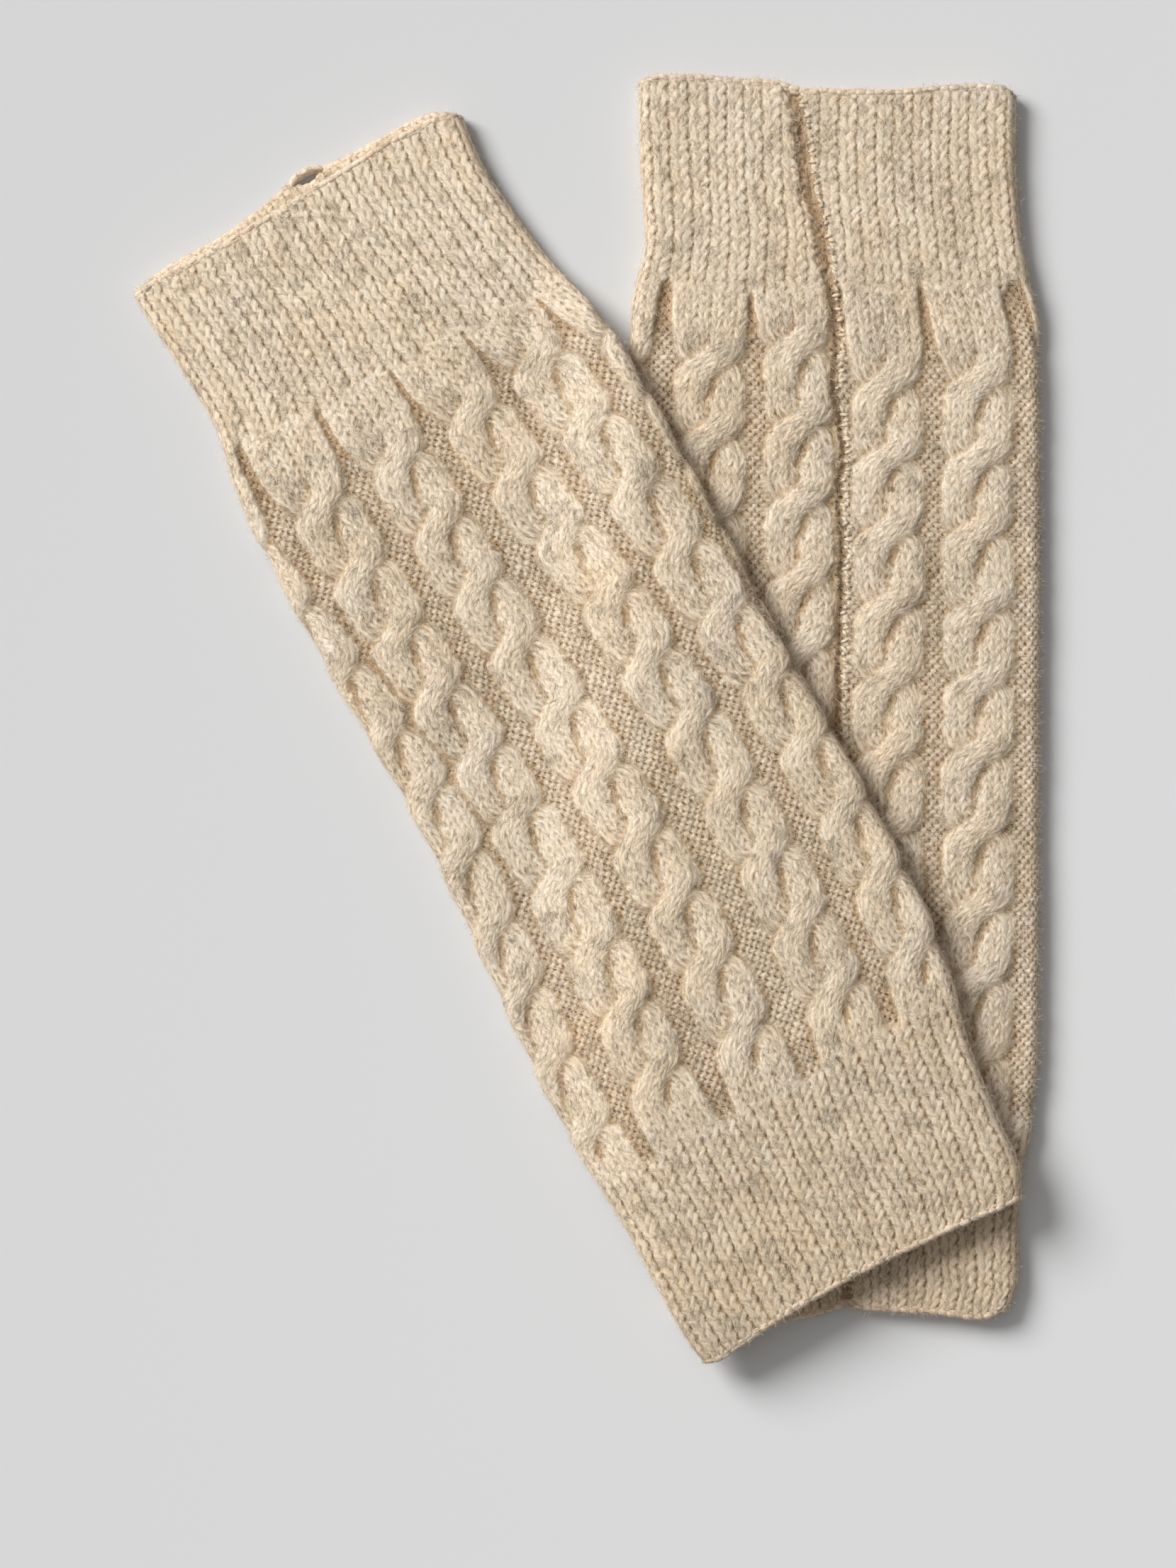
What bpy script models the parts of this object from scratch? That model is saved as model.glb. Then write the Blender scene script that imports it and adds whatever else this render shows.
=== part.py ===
"""A pair of cable-knit leg warmers, laid flat, one lying across the other.

Each one is a flattened tube of thick wool knit: a ribbed top cuff, a leg with rope cables running
down it, a ribbed bottom cuff, and one seam up the back. The lower one lies with its seam up; the
upper one lies with its seam down, its left side on the floor and the rest on the lower one.

Frame: metres, +Z up, the floor at z = 0, the pair's outline centred on the origin. The sizes below
are in millimetres. "Along" runs down a leg warmer from its top edge, "across" runs to its right.
"""
import math

import bmesh
import bpy
from mathutils import Vector

MM = 0.001

# The cloth
WALL = 3.2                  # one layer of knit
HOLLOW = 2.0                # the gap left between the two layers of a flattened tube
THICKNESS = 2 * WALL + HOLLOW
CABLE_RISE = 2.4            # a cable's crest above the purl ground
CABLE_HALF_WIDTH = 10.4
CREST_HALF_WIDTH = 6.0
PIECE_GAP = 0.3             # between two pieces that are joined

# The seam: the two joined selvedges, lying in a groove of the back wall
GROOVE_HALF_WIDTH = 2.9
GROOVE_DEPTH = 1.6
SEAM_GAP = 0.3              # the seam's clearance to its groove, on every side

# How the upper one climbs on to the lower one
REST_GAP = 0.3
CLIMB_START = 4.0           # inside the lower one's outline, the upper one is at its full height
CLIMB_SIDE = 40.0           # length of the slope down to the floor, beside the lower one
CLIMB_END = 52.0            # length of the slope past the lower one's end
FULL_LIFT = THICKNESS + CABLE_RISE + REST_GAP

# The mesh
ROUND_STEPS = 5             # points between the top and the underside of a folded edge
UNDER_POINTS = {"upper": 16, "lower": 8}
CUFF_STATIONS = 4
LEG_STATIONS = 16

UPPER = {
    "name": "upper",
    "top": (-95.1, 168.7),
    "bottom": (91.3, -185.4),
    "cuff_ends": (57.0, 336.0),
    # along, left edge, right edge
    "edges": ((0, -62.4, 62.2), (12, -61.6, 60.8), (25, -60.1, 61.3), (50, -58.8, 64.9),
              (75, -62.2, 70.3), (100, -63.1, 72.8), (150, -62.2, 74.1), (200, -60.5, 74.4),
              (250, -62.4, 75.8), (300, -64.3, 75.3), (325, -63.7, 72.1), (350, -62.0, 66.8),
              (375, -61.6, 64.2), (390, -61.2, 63.0), (400, -59.6, 58.6)),
    # along, then the middle of each cable as a fraction of the width
    "cables": ((57, 0.165, 0.385, 0.600, 0.805), (95, 0.172, 0.396, 0.612, 0.830),
               (185, 0.212, 0.436, 0.680, 0.890), (257, 0.245, 0.470, 0.700, 0.905),
               (336, 0.245, 0.470, 0.700, 0.905)),
    # along, the seam's place as a fraction of the width
    "seam": ((0, 0.560), (60, 0.520), (400, 0.500)),
    "seam_on": "under",
    # fraction of the width, how far the upper layer and the under layer reach past the top edge
    "top_edge": ((0.00, 0.6, 0.6), (0.03, 1.2, 2.9), (0.10, 1.6, 4.3), (0.28, 2.2, 4.9),
                 (0.38, 2.7, 6.7), (0.46, 3.4, 9.0), (0.52, 4.1, 11.6), (0.57, 4.6, 12.6),
                 (0.61, 4.8, 11.4), (0.66, 5.1, 9.4), (0.77, 6.4, 9.6), (0.90, 6.5, 9.4),
                 (0.96, 5.9, 7.4), (1.00, 2.6, 2.6)),
    # and the same past the bottom edge
    "bottom_edge": ((0.00, 0.4, 0.4), (0.05, 1.6, 1.4), (0.20, -0.8, -1.2), (0.45, -2.4, -2.6),
                    (0.75, -1.4, -1.6), (0.92, 0.2, 0.0), (1.00, 0.6, 0.4)),
}

LOWER = {
    "name": "lower",
    "top": (79.9, 208.4),
    "bottom": (82.7, -197.4),
    "cuff_ends": (61.0, 346.0),
    "edges": ((0, -62.7, 62.8), (25, -62.3, 62.7), (50, -60.8, 64.2), (62, -63.4, 66.6),
              (75, -65.1, 68.8), (100, -65.3, 70.3), (150, -65.7, 70.4), (200, -66.0, 69.8),
              (250, -66.4, 69.3), (300, -66.6, 69.0), (325, -66.2, 68.2), (345, -63.8, 65.8),
              (362, -60.0, 61.9), (380, -56.5, 60.8), (396, -54.0, 60.6), (406, -52.6, 57.6)),
    "cables": ((61, 0.185, 0.375, 0.605, 0.820), (95, 0.180, 0.410, 0.615, 0.840),
               (150, 0.180, 0.410, 0.620, 0.844), (346, 0.180, 0.410, 0.620, 0.844)),
    "seam": ((0, 0.420), (31, 0.450), (64, 0.490), (94, 0.500), (130, 0.510), (194, 0.505),
             (345, 0.505), (406, 0.510)),
    "seam_on": "top",
    "top_edge": ((0.00, 3.0, 3.0), (0.04, 4.9, 4.4), (0.15, 5.0, 4.4), (0.25, 4.0, 3.6),
                 (0.37, 2.7, 2.4), (0.42, 0.6, 1.0), (0.50, 0.0, 0.2), (0.68, -0.5, -0.8),
                 (0.82, 0.8, 0.4), (0.95, 0.9, 0.4), (1.00, -2.4, -2.4)),
    "bottom_edge": ((0.00, 1.0, 0.8), (0.30, 3.2, 2.8), (0.37, 1.8, 1.6), (0.44, -0.2, 0.0),
                    (0.50, -2.0, -1.6), (0.56, -0.8, -0.6), (0.75, 0.4, 0.2), (0.92, 2.5, 2.2),
                    (1.00, -1.4, -1.4)),
}

WOOL = {
    "cuff_wool": (0.66, 0.55, 0.42),
    "leg_wool": (0.70, 0.59, 0.46),
    "seam_wool": (0.60, 0.49, 0.37),
}
WOOL_ROUGHNESS = 0.95


def clear_scene():
    """Remove every object of the scene."""
    for thing in list(bpy.data.objects):
        bpy.data.objects.remove(thing, do_unlink=True)


def wool(slot):
    """A plain matt wool material."""
    material = bpy.data.materials.new(slot)
    material.use_nodes = True
    shader = material.node_tree.nodes["Principled BSDF"]
    shader.inputs["Base Color"].default_value = (*WOOL[slot], 1.0)
    shader.inputs["Roughness"].default_value = WOOL_ROUGHNESS
    shader.inputs["Metallic"].default_value = 0.0
    return material


def smooth(value):
    """Ease from 0 to 1."""
    value = min(max(value, 0.0), 1.0)
    return value * value * (3.0 - 2.0 * value)


def read(table, key, column):
    """A table's column at a key, on a smooth curve through the rows."""
    last = len(table) - 1
    row = 0
    while row < last - 1 and key > table[row + 1][0]:
        row += 1
    start, end = table[row], table[row + 1]
    before, after = table[max(row - 1, 0)], table[min(row + 2, last)]
    span = end[0] - start[0]
    share = min(max((key - start[0]) / span, 0.0), 1.0)
    slope_start = (end[column] - before[column]) / (end[0] - before[0]) * span
    slope_end = (after[column] - start[column]) / (after[0] - start[0]) * span
    square, cube = share * share, share ** 3
    return ((2 * cube - 3 * square + 1) * start[column] + (cube - 2 * square + share) * slope_start
            + (3 * square - 2 * cube) * end[column] + (cube - square) * slope_end)


def length_of(warmer):
    """A leg warmer's length along its middle."""
    return math.dist(warmer["top"], warmer["bottom"])


def place(warmer, across, along):
    """Plan position of a point of the laid cloth."""
    length = length_of(warmer)
    down_x = (warmer["bottom"][0] - warmer["top"][0]) / length
    down_y = (warmer["bottom"][1] - warmer["top"][1]) / length
    return (warmer["top"][0] + down_x * along - down_y * across,
            warmer["top"][1] + down_y * along + down_x * across)


def lift(warmer, x, y):
    """Height of the underside: 0 on the floor, FULL_LIFT where it lies on the lower one."""
    if warmer is LOWER:
        return 0.0
    along = min(max(LOWER["top"][1] - y, 0.0), length_of(LOWER))
    middle = place(LOWER, 0.0, along)[0]
    outside_left = middle + read(LOWER["edges"], along, 1) - x
    outside_right = x - middle - read(LOWER["edges"], along, 2)
    side = max(outside_left, outside_right)
    past_end = LOWER["bottom"][1] - y
    beside = 1.0 - smooth((side + CLIMB_START) / CLIMB_SIDE)
    beyond = 1.0 - smooth((past_end + CLIMB_START) / CLIMB_END)
    return FULL_LIFT * beside * beyond


def spread(start, end, count):
    """Evenly spaced stations from start to end."""
    return [start + (end - start) * index / (count - 1) for index in range(count)]


def spaced(values, low, high):
    """Keep rising values inside low..high and apart from each other."""
    step = 0.1
    kept = []
    for index, value in enumerate(values):
        floor_value = low + step * index
        ceiling = high - step * (len(values) - 1 - index)
        value = min(max(value, floor_value), ceiling)
        if kept:
            value = max(value, kept[-1] + step)
        kept.append(value)
    return kept


def face_profile(warmer, along, has_cables, left, right):
    """(across, rise) of the upper face between the two folded edges, left to right."""
    width = right - left
    rise = CABLE_RISE if has_cables else 0.0
    corners = groove(warmer, along, left, width, -GROOVE_DEPTH)
    points = []
    for column in range(1, len(warmer["cables"][0])):
        middle = left + width * read(warmer["cables"], along, column)
        points += [(middle - CABLE_HALF_WIDTH, 0.0), (middle - CREST_HALF_WIDTH, rise),
                   (middle + CREST_HALF_WIDTH, rise), (middle + CABLE_HALF_WIDTH, 0.0)]
    if warmer["seam_on"] == "top":
        points = clear_of_groove(points, corners)
    low, high = left + THICKNESS / 2, right - THICKNESS / 2
    across = spaced([low] + [point[0] for point in points] + [high], low, high)
    return list(zip(across, [0.0] + [point[1] for point in points] + [0.0]))


def clear_of_groove(points, corners):
    """Put the groove's corners between the cables beside it, which keep off its lips."""
    middle = (corners[0][0] + corners[-1][0]) / 2
    before = [point for point in points if point[0] < middle]
    after = [point for point in points if point[0] >= middle]
    step = 0.4
    before = [(min(across, corners[0][0] - step * (len(before) - index)), rise)
              for index, (across, rise) in enumerate(before)]
    after = [(max(across, corners[-1][0] + step * (index + 1)), rise)
             for index, (across, rise) in enumerate(after)]
    return before + corners + after


def groove(warmer, along, left, width, depth):
    """(across, rise) of the four corners of the seam's groove."""
    middle = left + width * read(warmer["seam"], along, 1)
    lip = GROOVE_HALF_WIDTH + 0.2
    return [(middle - lip, 0.0), (middle - GROOVE_HALF_WIDTH, depth),
            (middle + GROOVE_HALF_WIDTH, depth), (middle + lip, 0.0)]


def under_profile(warmer, along, left, right):
    """(across, rise) of the underside, right to left."""
    low, high = left + THICKNESS / 2, right - THICKNESS / 2
    if warmer["seam_on"] == "top":
        return [(across, 0.0) for across in spread(high, low, UNDER_POINTS[warmer["name"]])]
    corners = groove(warmer, along, left, right - left, GROOVE_DEPTH)
    side_points = (UNDER_POINTS[warmer["name"]] - len(corners)) // 2
    before = spread(low, corners[0][0] - GROOVE_HALF_WIDTH, side_points)
    after = spread(corners[-1][0] + GROOVE_HALF_WIDTH, high, side_points)
    points = [(across, 0.0) for across in before] + corners + [(across, 0.0) for across in after]
    return points[::-1]


def fold(across_top, z_top, across_under, z_under, outward):
    """Points round a folded edge, from one layer to the other, without its two ends."""
    middle_across = (across_top + across_under) / 2
    middle_z = (z_top + z_under) / 2
    half = (z_top - z_under) / 2
    points = []
    for step in range(1, ROUND_STEPS + 1):
        turn = math.pi * step / (ROUND_STEPS + 1)
        points.append((middle_across + outward * abs(half) * math.sin(turn),
                       middle_z + half * math.cos(turn)))
    return points


def ring(warmer, along, has_cables):
    """One station of the tube: its outer points and, one for one, the points of the hollow."""
    left = read(warmer["edges"], along, 1)
    right = read(warmer["edges"], along, 2)
    face = face_profile(warmer, along, has_cables, left, right)
    under = under_profile(warmer, along, left, right)
    outer_face = [(across, THICKNESS + rise) for across, rise in face]
    outer_under = [(across, rise) for across, rise in under]
    outer = (outer_face + fold(*outer_face[-1], *outer_under[0], 1)
             + outer_under + fold(*outer_under[-1], *outer_face[0], -1))
    inset = WALL + HOLLOW / 2
    low, high = left + THICKNESS / 2, right - THICKNESS / 2
    shrink = ((right - left) - 2 * inset) / (high - low)
    middle = (left + right) / 2
    inner_face = [(middle + (across - middle) * shrink, WALL + HOLLOW) for across, rise in face]
    inner_under = [(middle + (across - middle) * shrink, WALL) for across, rise in under]
    inner = (inner_face + fold(*inner_face[-1], *inner_under[0], 1)
             + inner_under + fold(*inner_under[-1], *inner_face[0], -1))
    return outer, inner


def end_reach(warmer, table_name, across, height, along):
    """How far a point of a cuff's edge reaches past the tube's straight end."""
    left = read(warmer["edges"], along, 1)
    right = read(warmer["edges"], along, 2)
    share = min(max((across - left) / (right - left), 0.0), 1.0)
    layer = smooth(height / THICKNESS)
    upper_layer = read(warmer[table_name], share, 1)
    under_layer = read(warmer[table_name], share, 2)
    return under_layer + (upper_layer - under_layer) * layer


def laid(warmer, across, height, along, edge_table):
    """A point of the cloth in space; at the end of a cuff it takes the edge's own line."""
    reach = 0.0
    if edge_table == "top_edge":
        reach = -end_reach(warmer, edge_table, across, height, along)
    if edge_table == "bottom_edge":
        reach = end_reach(warmer, edge_table, across, height, along)
    x, y = place(warmer, across, along + reach)
    return Vector((x, y, height + lift(warmer, x, y)))


def place_ring(bm, warmer, points, along, edge_table):
    """Add one ring's points as vertices."""
    return [bm.verts.new(laid(warmer, across, height, along, edge_table) * MM)
            for across, height in points]


def skin(bm, first, second, lean=0):
    """Triangles between two rings of equal count; lean picks the diagonal, so that two surfaces
    lying face to face can bend alike."""
    count = len(first)
    for index in range(count):
        following = (index + 1) % count
        corners = (first[index], first[following], second[following], second[index])
        a, b, c, d = corners[lean:] + corners[:lean]
        bm.faces.new((a, b, c))
        bm.faces.new((a, c, d))


def finish(bm, name, slot):
    """Turn a bmesh into a named object with its material, every face pointing out."""
    bmesh.ops.recalc_face_normals(bm, faces=bm.faces)
    mesh = bpy.data.meshes.new(name)
    bm.to_mesh(mesh)
    bm.free()
    mesh.materials.append(wool(slot))
    mesh.shade_smooth()
    mesh.set_sharp_from_angle(angle=math.radians(50))
    thing = bpy.data.objects.new(name, mesh)
    bpy.context.scene.collection.objects.link(thing)
    return thing


def tube(warmer, piece, stations, has_cables, slot, start_table=None, end_table=None):
    """One length of the flattened knit tube, open at both ends."""
    bm = bmesh.new()
    outer_rings, inner_rings = [], []
    for index, along in enumerate(stations):
        table = start_table if index == 0 else None
        if index == len(stations) - 1:
            table = end_table
        outer, inner = ring(warmer, along, has_cables)
        outer_rings.append(place_ring(bm, warmer, outer, along, table))
        inner_rings.append(place_ring(bm, warmer, inner, along, table))
    for index in range(len(stations) - 1):
        skin(bm, outer_rings[index], outer_rings[index + 1])
        skin(bm, inner_rings[index + 1], inner_rings[index])
    skin(bm, inner_rings[0], outer_rings[0])
    skin(bm, outer_rings[-1], inner_rings[-1])
    return finish(bm, f"{warmer['name']}_{piece}", slot)


def seam_section(base):
    """(share of the groove's width, height) round the seam's flat cord."""
    side = SEAM_GAP / (2 * GROOVE_HALF_WIDTH)
    low, high = base + SEAM_GAP, base + GROOVE_DEPTH - SEAM_GAP
    bevel = (high - low) / 3
    share = bevel / (2 * GROOVE_HALF_WIDTH)
    return [(side, low + bevel), (side, high - bevel), (side + share, high),
            (1 - side - share, high), (1 - side, high - bevel), (1 - side, low + bevel),
            (1 - side - share, low), (side + share, low)]


def back_seam(warmer, stations, slot):
    """The joined selvedges: a flat cord lying in the groove of the back wall."""
    base = THICKNESS - GROOVE_DEPTH if warmer["seam_on"] == "top" else 0.0
    floor_height = base if warmer["seam_on"] == "top" else GROOVE_DEPTH
    bm = bmesh.new()
    rings = []
    for index, along in enumerate(stations):
        left = read(warmer["edges"], along, 1)
        right = read(warmer["edges"], along, 2)
        corners = groove(warmer, along, left, right - left, 0.0)
        table = "top_edge" if index == 0 else None
        if index == len(stations) - 1:
            table = "bottom_edge"
        start = laid(warmer, corners[1][0], floor_height, along, table)
        end = laid(warmer, corners[2][0], floor_height, along, table)
        rings.append([bm.verts.new((start.lerp(end, share) + Vector((0, 0, height - floor_height))) * MM)
                      for share, height in seam_section(base)])
    for index in range(len(rings) - 1):
        skin(bm, rings[index], rings[index + 1], lean=1)
    bm.faces.new(rings[0])
    bm.faces.new(rings[-1])
    return finish(bm, f"{warmer['name']}_back_seam", slot)


def leg_warmer(warmer):
    """Build the three lengths of tube and the seam of one leg warmer."""
    cuff_end, cuff_start = warmer["cuff_ends"]
    half_gap = PIECE_GAP / 2
    top = spread(0.0, cuff_end - half_gap, CUFF_STATIONS)
    leg = spread(cuff_end + half_gap, cuff_start - half_gap, LEG_STATIONS)
    bottom = spread(cuff_start + half_gap, length_of(warmer), CUFF_STATIONS)
    tube(warmer, "top_cuff", top, False, "cuff_wool", start_table="top_edge")
    tube(warmer, "leg", leg, True, "leg_wool")
    tube(warmer, "bottom_cuff", bottom, False, "cuff_wool", end_table="bottom_edge")
    back_seam(warmer, top + leg + bottom, "seam_wool")


clear_scene()
leg_warmer(LOWER)
leg_warmer(UPPER)
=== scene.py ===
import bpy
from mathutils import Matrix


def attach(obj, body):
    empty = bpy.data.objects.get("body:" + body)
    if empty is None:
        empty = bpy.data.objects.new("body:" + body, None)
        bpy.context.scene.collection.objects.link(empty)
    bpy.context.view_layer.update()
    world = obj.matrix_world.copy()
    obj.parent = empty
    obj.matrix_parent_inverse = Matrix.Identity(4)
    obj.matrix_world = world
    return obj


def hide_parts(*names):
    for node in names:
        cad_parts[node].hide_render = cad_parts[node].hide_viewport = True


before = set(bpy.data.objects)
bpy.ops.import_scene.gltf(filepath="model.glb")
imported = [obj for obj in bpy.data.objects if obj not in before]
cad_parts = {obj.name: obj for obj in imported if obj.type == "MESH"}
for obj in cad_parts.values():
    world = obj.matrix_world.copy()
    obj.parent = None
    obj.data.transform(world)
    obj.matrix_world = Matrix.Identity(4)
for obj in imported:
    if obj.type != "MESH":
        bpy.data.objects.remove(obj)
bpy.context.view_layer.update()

import math

import bpy
import numpy as np

# ----------------------------------------
# The lower leg warmer's ribbed top cuff.
# Knit-one purl-one rib in thick oatmeal melange wool, worked flat and seamed into a tube. It lies
# flattened on the floor, seam up. Its top edge is bound off with a chain of loops.

MM = 0.001
WALL = 3.2  # one layer of knit
HOLLOW = 2.0  # between the two layers of the flattened tube
THICKNESS = 2 * WALL + HOLLOW
FOLD_RADIUS = THICKNESS / 2
FOLD = math.pi * FOLD_RADIUS  # the way round one fold

# The mesh's columns round the upper face and both folds, along the underside, and round the inner
# face of the wall; its rows' steps, in millimetres; and the steps round the rim of a mouth
FACE_COLUMNS = 240
UNDER_COLUMNS = 56
INNER_COLUMNS = 120
UNDER_STEP = 2.6
INNER_STEP = 5.0
RIM_TURNS = 6
RIM_TURN_LENGTH = 0.55  # along the yarn from one turn of the rim to the next

UNDER_DENT = 0.25  # mean depth of the soft dents in the underside
PRESSED = 0.45  # how much of the relief goes under the other one's weight
# Painted shade: the wool's colour is darkened and warmed in hollows, most in the back seam's groove
HOLLOW_NEAR = (3, 1.45)  # cells each way that a small hollow is judged by, and its shade
HOLLOW_WIDE = (13, 0.36)  # the same for a wide hollow
HOLLOW_LEVEL = 0.12  # the shade of a place that is level with those round it
PLAIN_SHADE = 0.25  # the shade where no single stitch is modelled
HOLLOW_SEAM = 0.85  # the shade that the back seam's groove adds

WALES = 23  # knit ribs round the upper face and both folds
RIB_ROW = 3.7
LEG_ROW = 3.1  # the leg's rows are closer
RIB_ROW_STEP = RIB_ROW / 6  # from one row of the mesh to the next
RIB_REACH = 0.98  # rows that a rib stitch's leg climbs from its foot to its head
ROPE_REACH = 1.10  # and a rope stitch's
ROPE_STITCH = 3.9  # width of one stitch in a crossed strand
RIB_RIDGE = 0.07  # how far a whole rib stands out, and each half of it
RIB_HALF_RIDGE = 0.06
RIB_SLIT = 0.11  # how deep the slit between two ribs is
RIB_SUNK = 0.20  # brings the stitches' middle height back to the wall's face
RIB, ROPE, PURL = 0.0, 0.4, 1.0  # the kinds of stitch, for the wool's material
SEAM_DEPTH = 1.7  # of the groove that the back seam lies in
SEAM_WIDTH = 2.0  # of the groove in the leg
SEAM_CUFF_WIDTH = 3.6  # how much wider the groove is in the cuffs

LOWER = {
    "name": "lower",
    "top": (79.9, 208.4),
    "bottom": (82.7, -197.4),
    "cuff_ends": (61.0, 346.0),
    # along, left edge, right edge
    "edges": ((0, -62.7, 62.8), (25, -62.3, 62.7), (50, -60.8, 64.2), (62, -63.4, 66.6),
              (75, -65.1, 68.8), (100, -65.3, 70.3), (150, -65.7, 70.4), (200, -66.0, 69.8),
              (250, -66.4, 69.3), (300, -66.6, 69.0), (325, -66.2, 68.2), (345, -63.8, 65.8),
              (362, -60.0, 61.9), (380, -56.5, 60.8), (396, -54.0, 60.6), (406, -52.6, 57.6)),
    # along, then the middle of each cable as a share of the width, past 0 and 1 round the folds
    "cables": ((61, -0.035, 0.190, 0.385, 0.608, 0.816, 1.070),
               (95, -0.040, 0.190, 0.405, 0.622, 0.840, 1.110),
               (150, -0.040, 0.190, 0.408, 0.626, 0.842, 1.135),
               (346, -0.040, 0.185, 0.410, 0.624, 0.844, 1.135)),
    # how wide a stitch is in the flat panels by the top and by the bottom cuff
    "panel_stitches": (4.30, 4.0),
    # for each cable, where it first crosses, how far it is to the next crossing, and their count
    "crossings": ((90.0, 24.8, 10), (91.0, 24.6, 10), (86.7, 24.9, 10), (98.0, 24.6, 10),
                  (98.3, 24.7, 10), (95.0, 24.8, 10)),
    # along, the seam's place as a share of the width
    "seam": ((0, 0.420), (31, 0.450), (64, 0.490), (94, 0.500), (130, 0.510), (194, 0.505),
             (345, 0.505), (406, 0.510)),
    "seam_on": "top",
    # how far the cuffs' stitches stand out, at the felted top and at the bottom
    "crisp": (0.10, 0.15),
    # the straight strip that the upper one covers for certain: its two ends and half its width
    "covered": ((-93.0, 165.0), (90.0, -183.0), 57.0),
    # share of the width, how far the upper layer and the under layer reach past the top edge
    "top_edge": ((0.00, 3.0, 3.0), (0.04, 4.9, 4.4), (0.15, 5.0, 4.4), (0.25, 4.0, 3.6),
                 (0.37, 2.7, 2.4), (0.42, 0.6, 1.0), (0.50, 0.0, 0.2), (0.68, -0.5, -0.8),
                 (0.82, 0.8, 0.4), (0.95, 0.9, 0.4), (1.00, -2.4, -2.4)),
    # and the same past the bottom edge
    "bottom_edge": ((0.00, 1.0, 0.8), (0.30, 3.2, 2.8), (0.37, 1.8, 1.6), (0.44, -0.2, 0.0),
                    (0.50, -2.0, -1.6), (0.56, -0.8, -0.6), (0.75, 0.4, 0.2), (0.92, 2.5, 2.2),
                    (1.00, -1.4, -1.4)),
}


def ease(value):
    """From 0 to 1, gently at both ends."""
    value = np.clip(value, 0.0, 1.0)
    return value * value * (3.0 - 2.0 * value)


def read(table, key, column):
    """A table's column at some keys, on a smooth curve through the rows."""
    keys = np.array([row[0] for row in table], float)
    values = np.array([row[column] for row in table], float)
    slopes = np.gradient(values, keys)
    slopes[1:-1] = (values[2:] - values[:-2]) / (keys[2:] - keys[:-2])
    key = np.asarray(key, float)
    row = np.clip(np.searchsorted(keys, key, side="right") - 1, 0, len(keys) - 2)
    span = keys[row + 1] - keys[row]
    share = np.clip((key - keys[row]) / span, 0.0, 1.0)
    square, cube = share ** 2, share ** 3
    return ((2 * cube - 3 * square + 1) * values[row] + (cube - 2 * square + share) * slopes[row] * span
            + (3 * square - 2 * cube) * values[row + 1] + (cube - square) * slopes[row + 1] * span)


def chance(column, row, seed):
    """A repeatable random number from 0 to 1 for each stitch."""
    mix = (np.asarray(column).astype(np.int64) * 374761393 + np.asarray(row).astype(np.int64) * 668265263
           + seed * 1442695041) & 0xFFFFFFFF
    mix = ((mix ^ (mix >> 13)) * 1274126177) & 0xFFFFFFFF
    return ((mix ^ (mix >> 16)) & 0xFFFF) / 65535.0


def drift(x, y, seed):
    """Smooth unevenness from -1 to 1, one unit of x or y to a wave."""
    column, row = np.floor(x), np.floor(y)
    right, down = ease(x - column), ease(y - row)
    near = chance(column, row, seed) * (1 - right) + chance(column + 1, row, seed) * right
    far = chance(column, row + 1, seed) * (1 - right) + chance(column + 1, row + 1, seed) * right
    return (near * (1 - down) + far * down) * 2 - 1


def length_of(warmer):
    """A leg warmer's length along its middle."""
    return math.dist(warmer["top"], warmer["bottom"])


def place(warmer, across, along):
    """Plan position of a point of the laid cloth."""
    length = length_of(warmer)
    down_x = (warmer["bottom"][0] - warmer["top"][0]) / length
    down_y = (warmer["bottom"][1] - warmer["top"][1]) / length
    return (warmer["top"][0] + down_x * along - down_y * across,
            warmer["top"][1] + down_y * along + down_x * across)


def outline(warmer, along):
    """The left and right outline, the width of the flat face between the folds, and the way round
    the upper half of the section with both folds."""
    left = read(warmer["edges"], along, 1)
    right = read(warmer["edges"], along, 2)
    face = right - left - 2 * FOLD_RADIUS
    return left, right, face, face + 2 * FOLD


def section(warmer, along, around, layer):
    """The flattened tube's section. around runs 0 to 1 over the left fold, the upper face and the
    right fold, then 1 to 2 back along the underside; layer is 0 on the outer face of the wall and
    1 on its inner face. Gives the point's across and height, and the outward direction."""
    left, right, face, whole = outline(warmer, along)
    arc = np.minimum(around, 1.0) * whole
    left_turn = np.clip(arc / FOLD_RADIUS, 0.0, math.pi)
    right_turn = np.clip((whole - arc) / FOLD_RADIUS, 0.0, math.pi)
    turn = np.minimum(left_turn, right_turn)
    share = np.clip((arc - FOLD) / face, 0.0, 1.0) - np.clip(around - 1.0, 0.0, 1.0)
    inset = WALL * layer
    radius = FOLD_RADIUS + (HOLLOW / 2 - FOLD_RADIUS) * layer
    face = right - left - 2 * inset - 2 * radius
    out_across = np.sin(right_turn) - np.sin(left_turn)
    across = left + inset + radius + share * face + radius * out_across
    height = inset + radius * (1 - np.cos(turn))
    return across, height, out_across, -np.cos(turn)


def edge_reach(warmer, across, height, along):
    """How far the cloth at a cuff's edge reaches past the tube's straight end, and in which way."""
    left, right, _, _ = outline(warmer, along)
    share = np.clip((across - left) / (right - left), 0.0, 1.0)
    layer = ease(height / THICKNESS)
    cuff_end, cuff_start = warmer["cuff_ends"]
    near_top = np.clip(1 - along / cuff_end, 0.0, 1.0)
    near_bottom = np.clip(1 - (length_of(warmer) - along) / (length_of(warmer) - cuff_start), 0.0, 1.0)
    top, bottom = (read(warmer[edge], share, 2) * (1 - layer) + read(warmer[edge], share, 1) * layer
                   for edge in ("top_edge", "bottom_edge"))
    return bottom * near_bottom ** 1.5 - top * near_top ** 1.5


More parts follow.
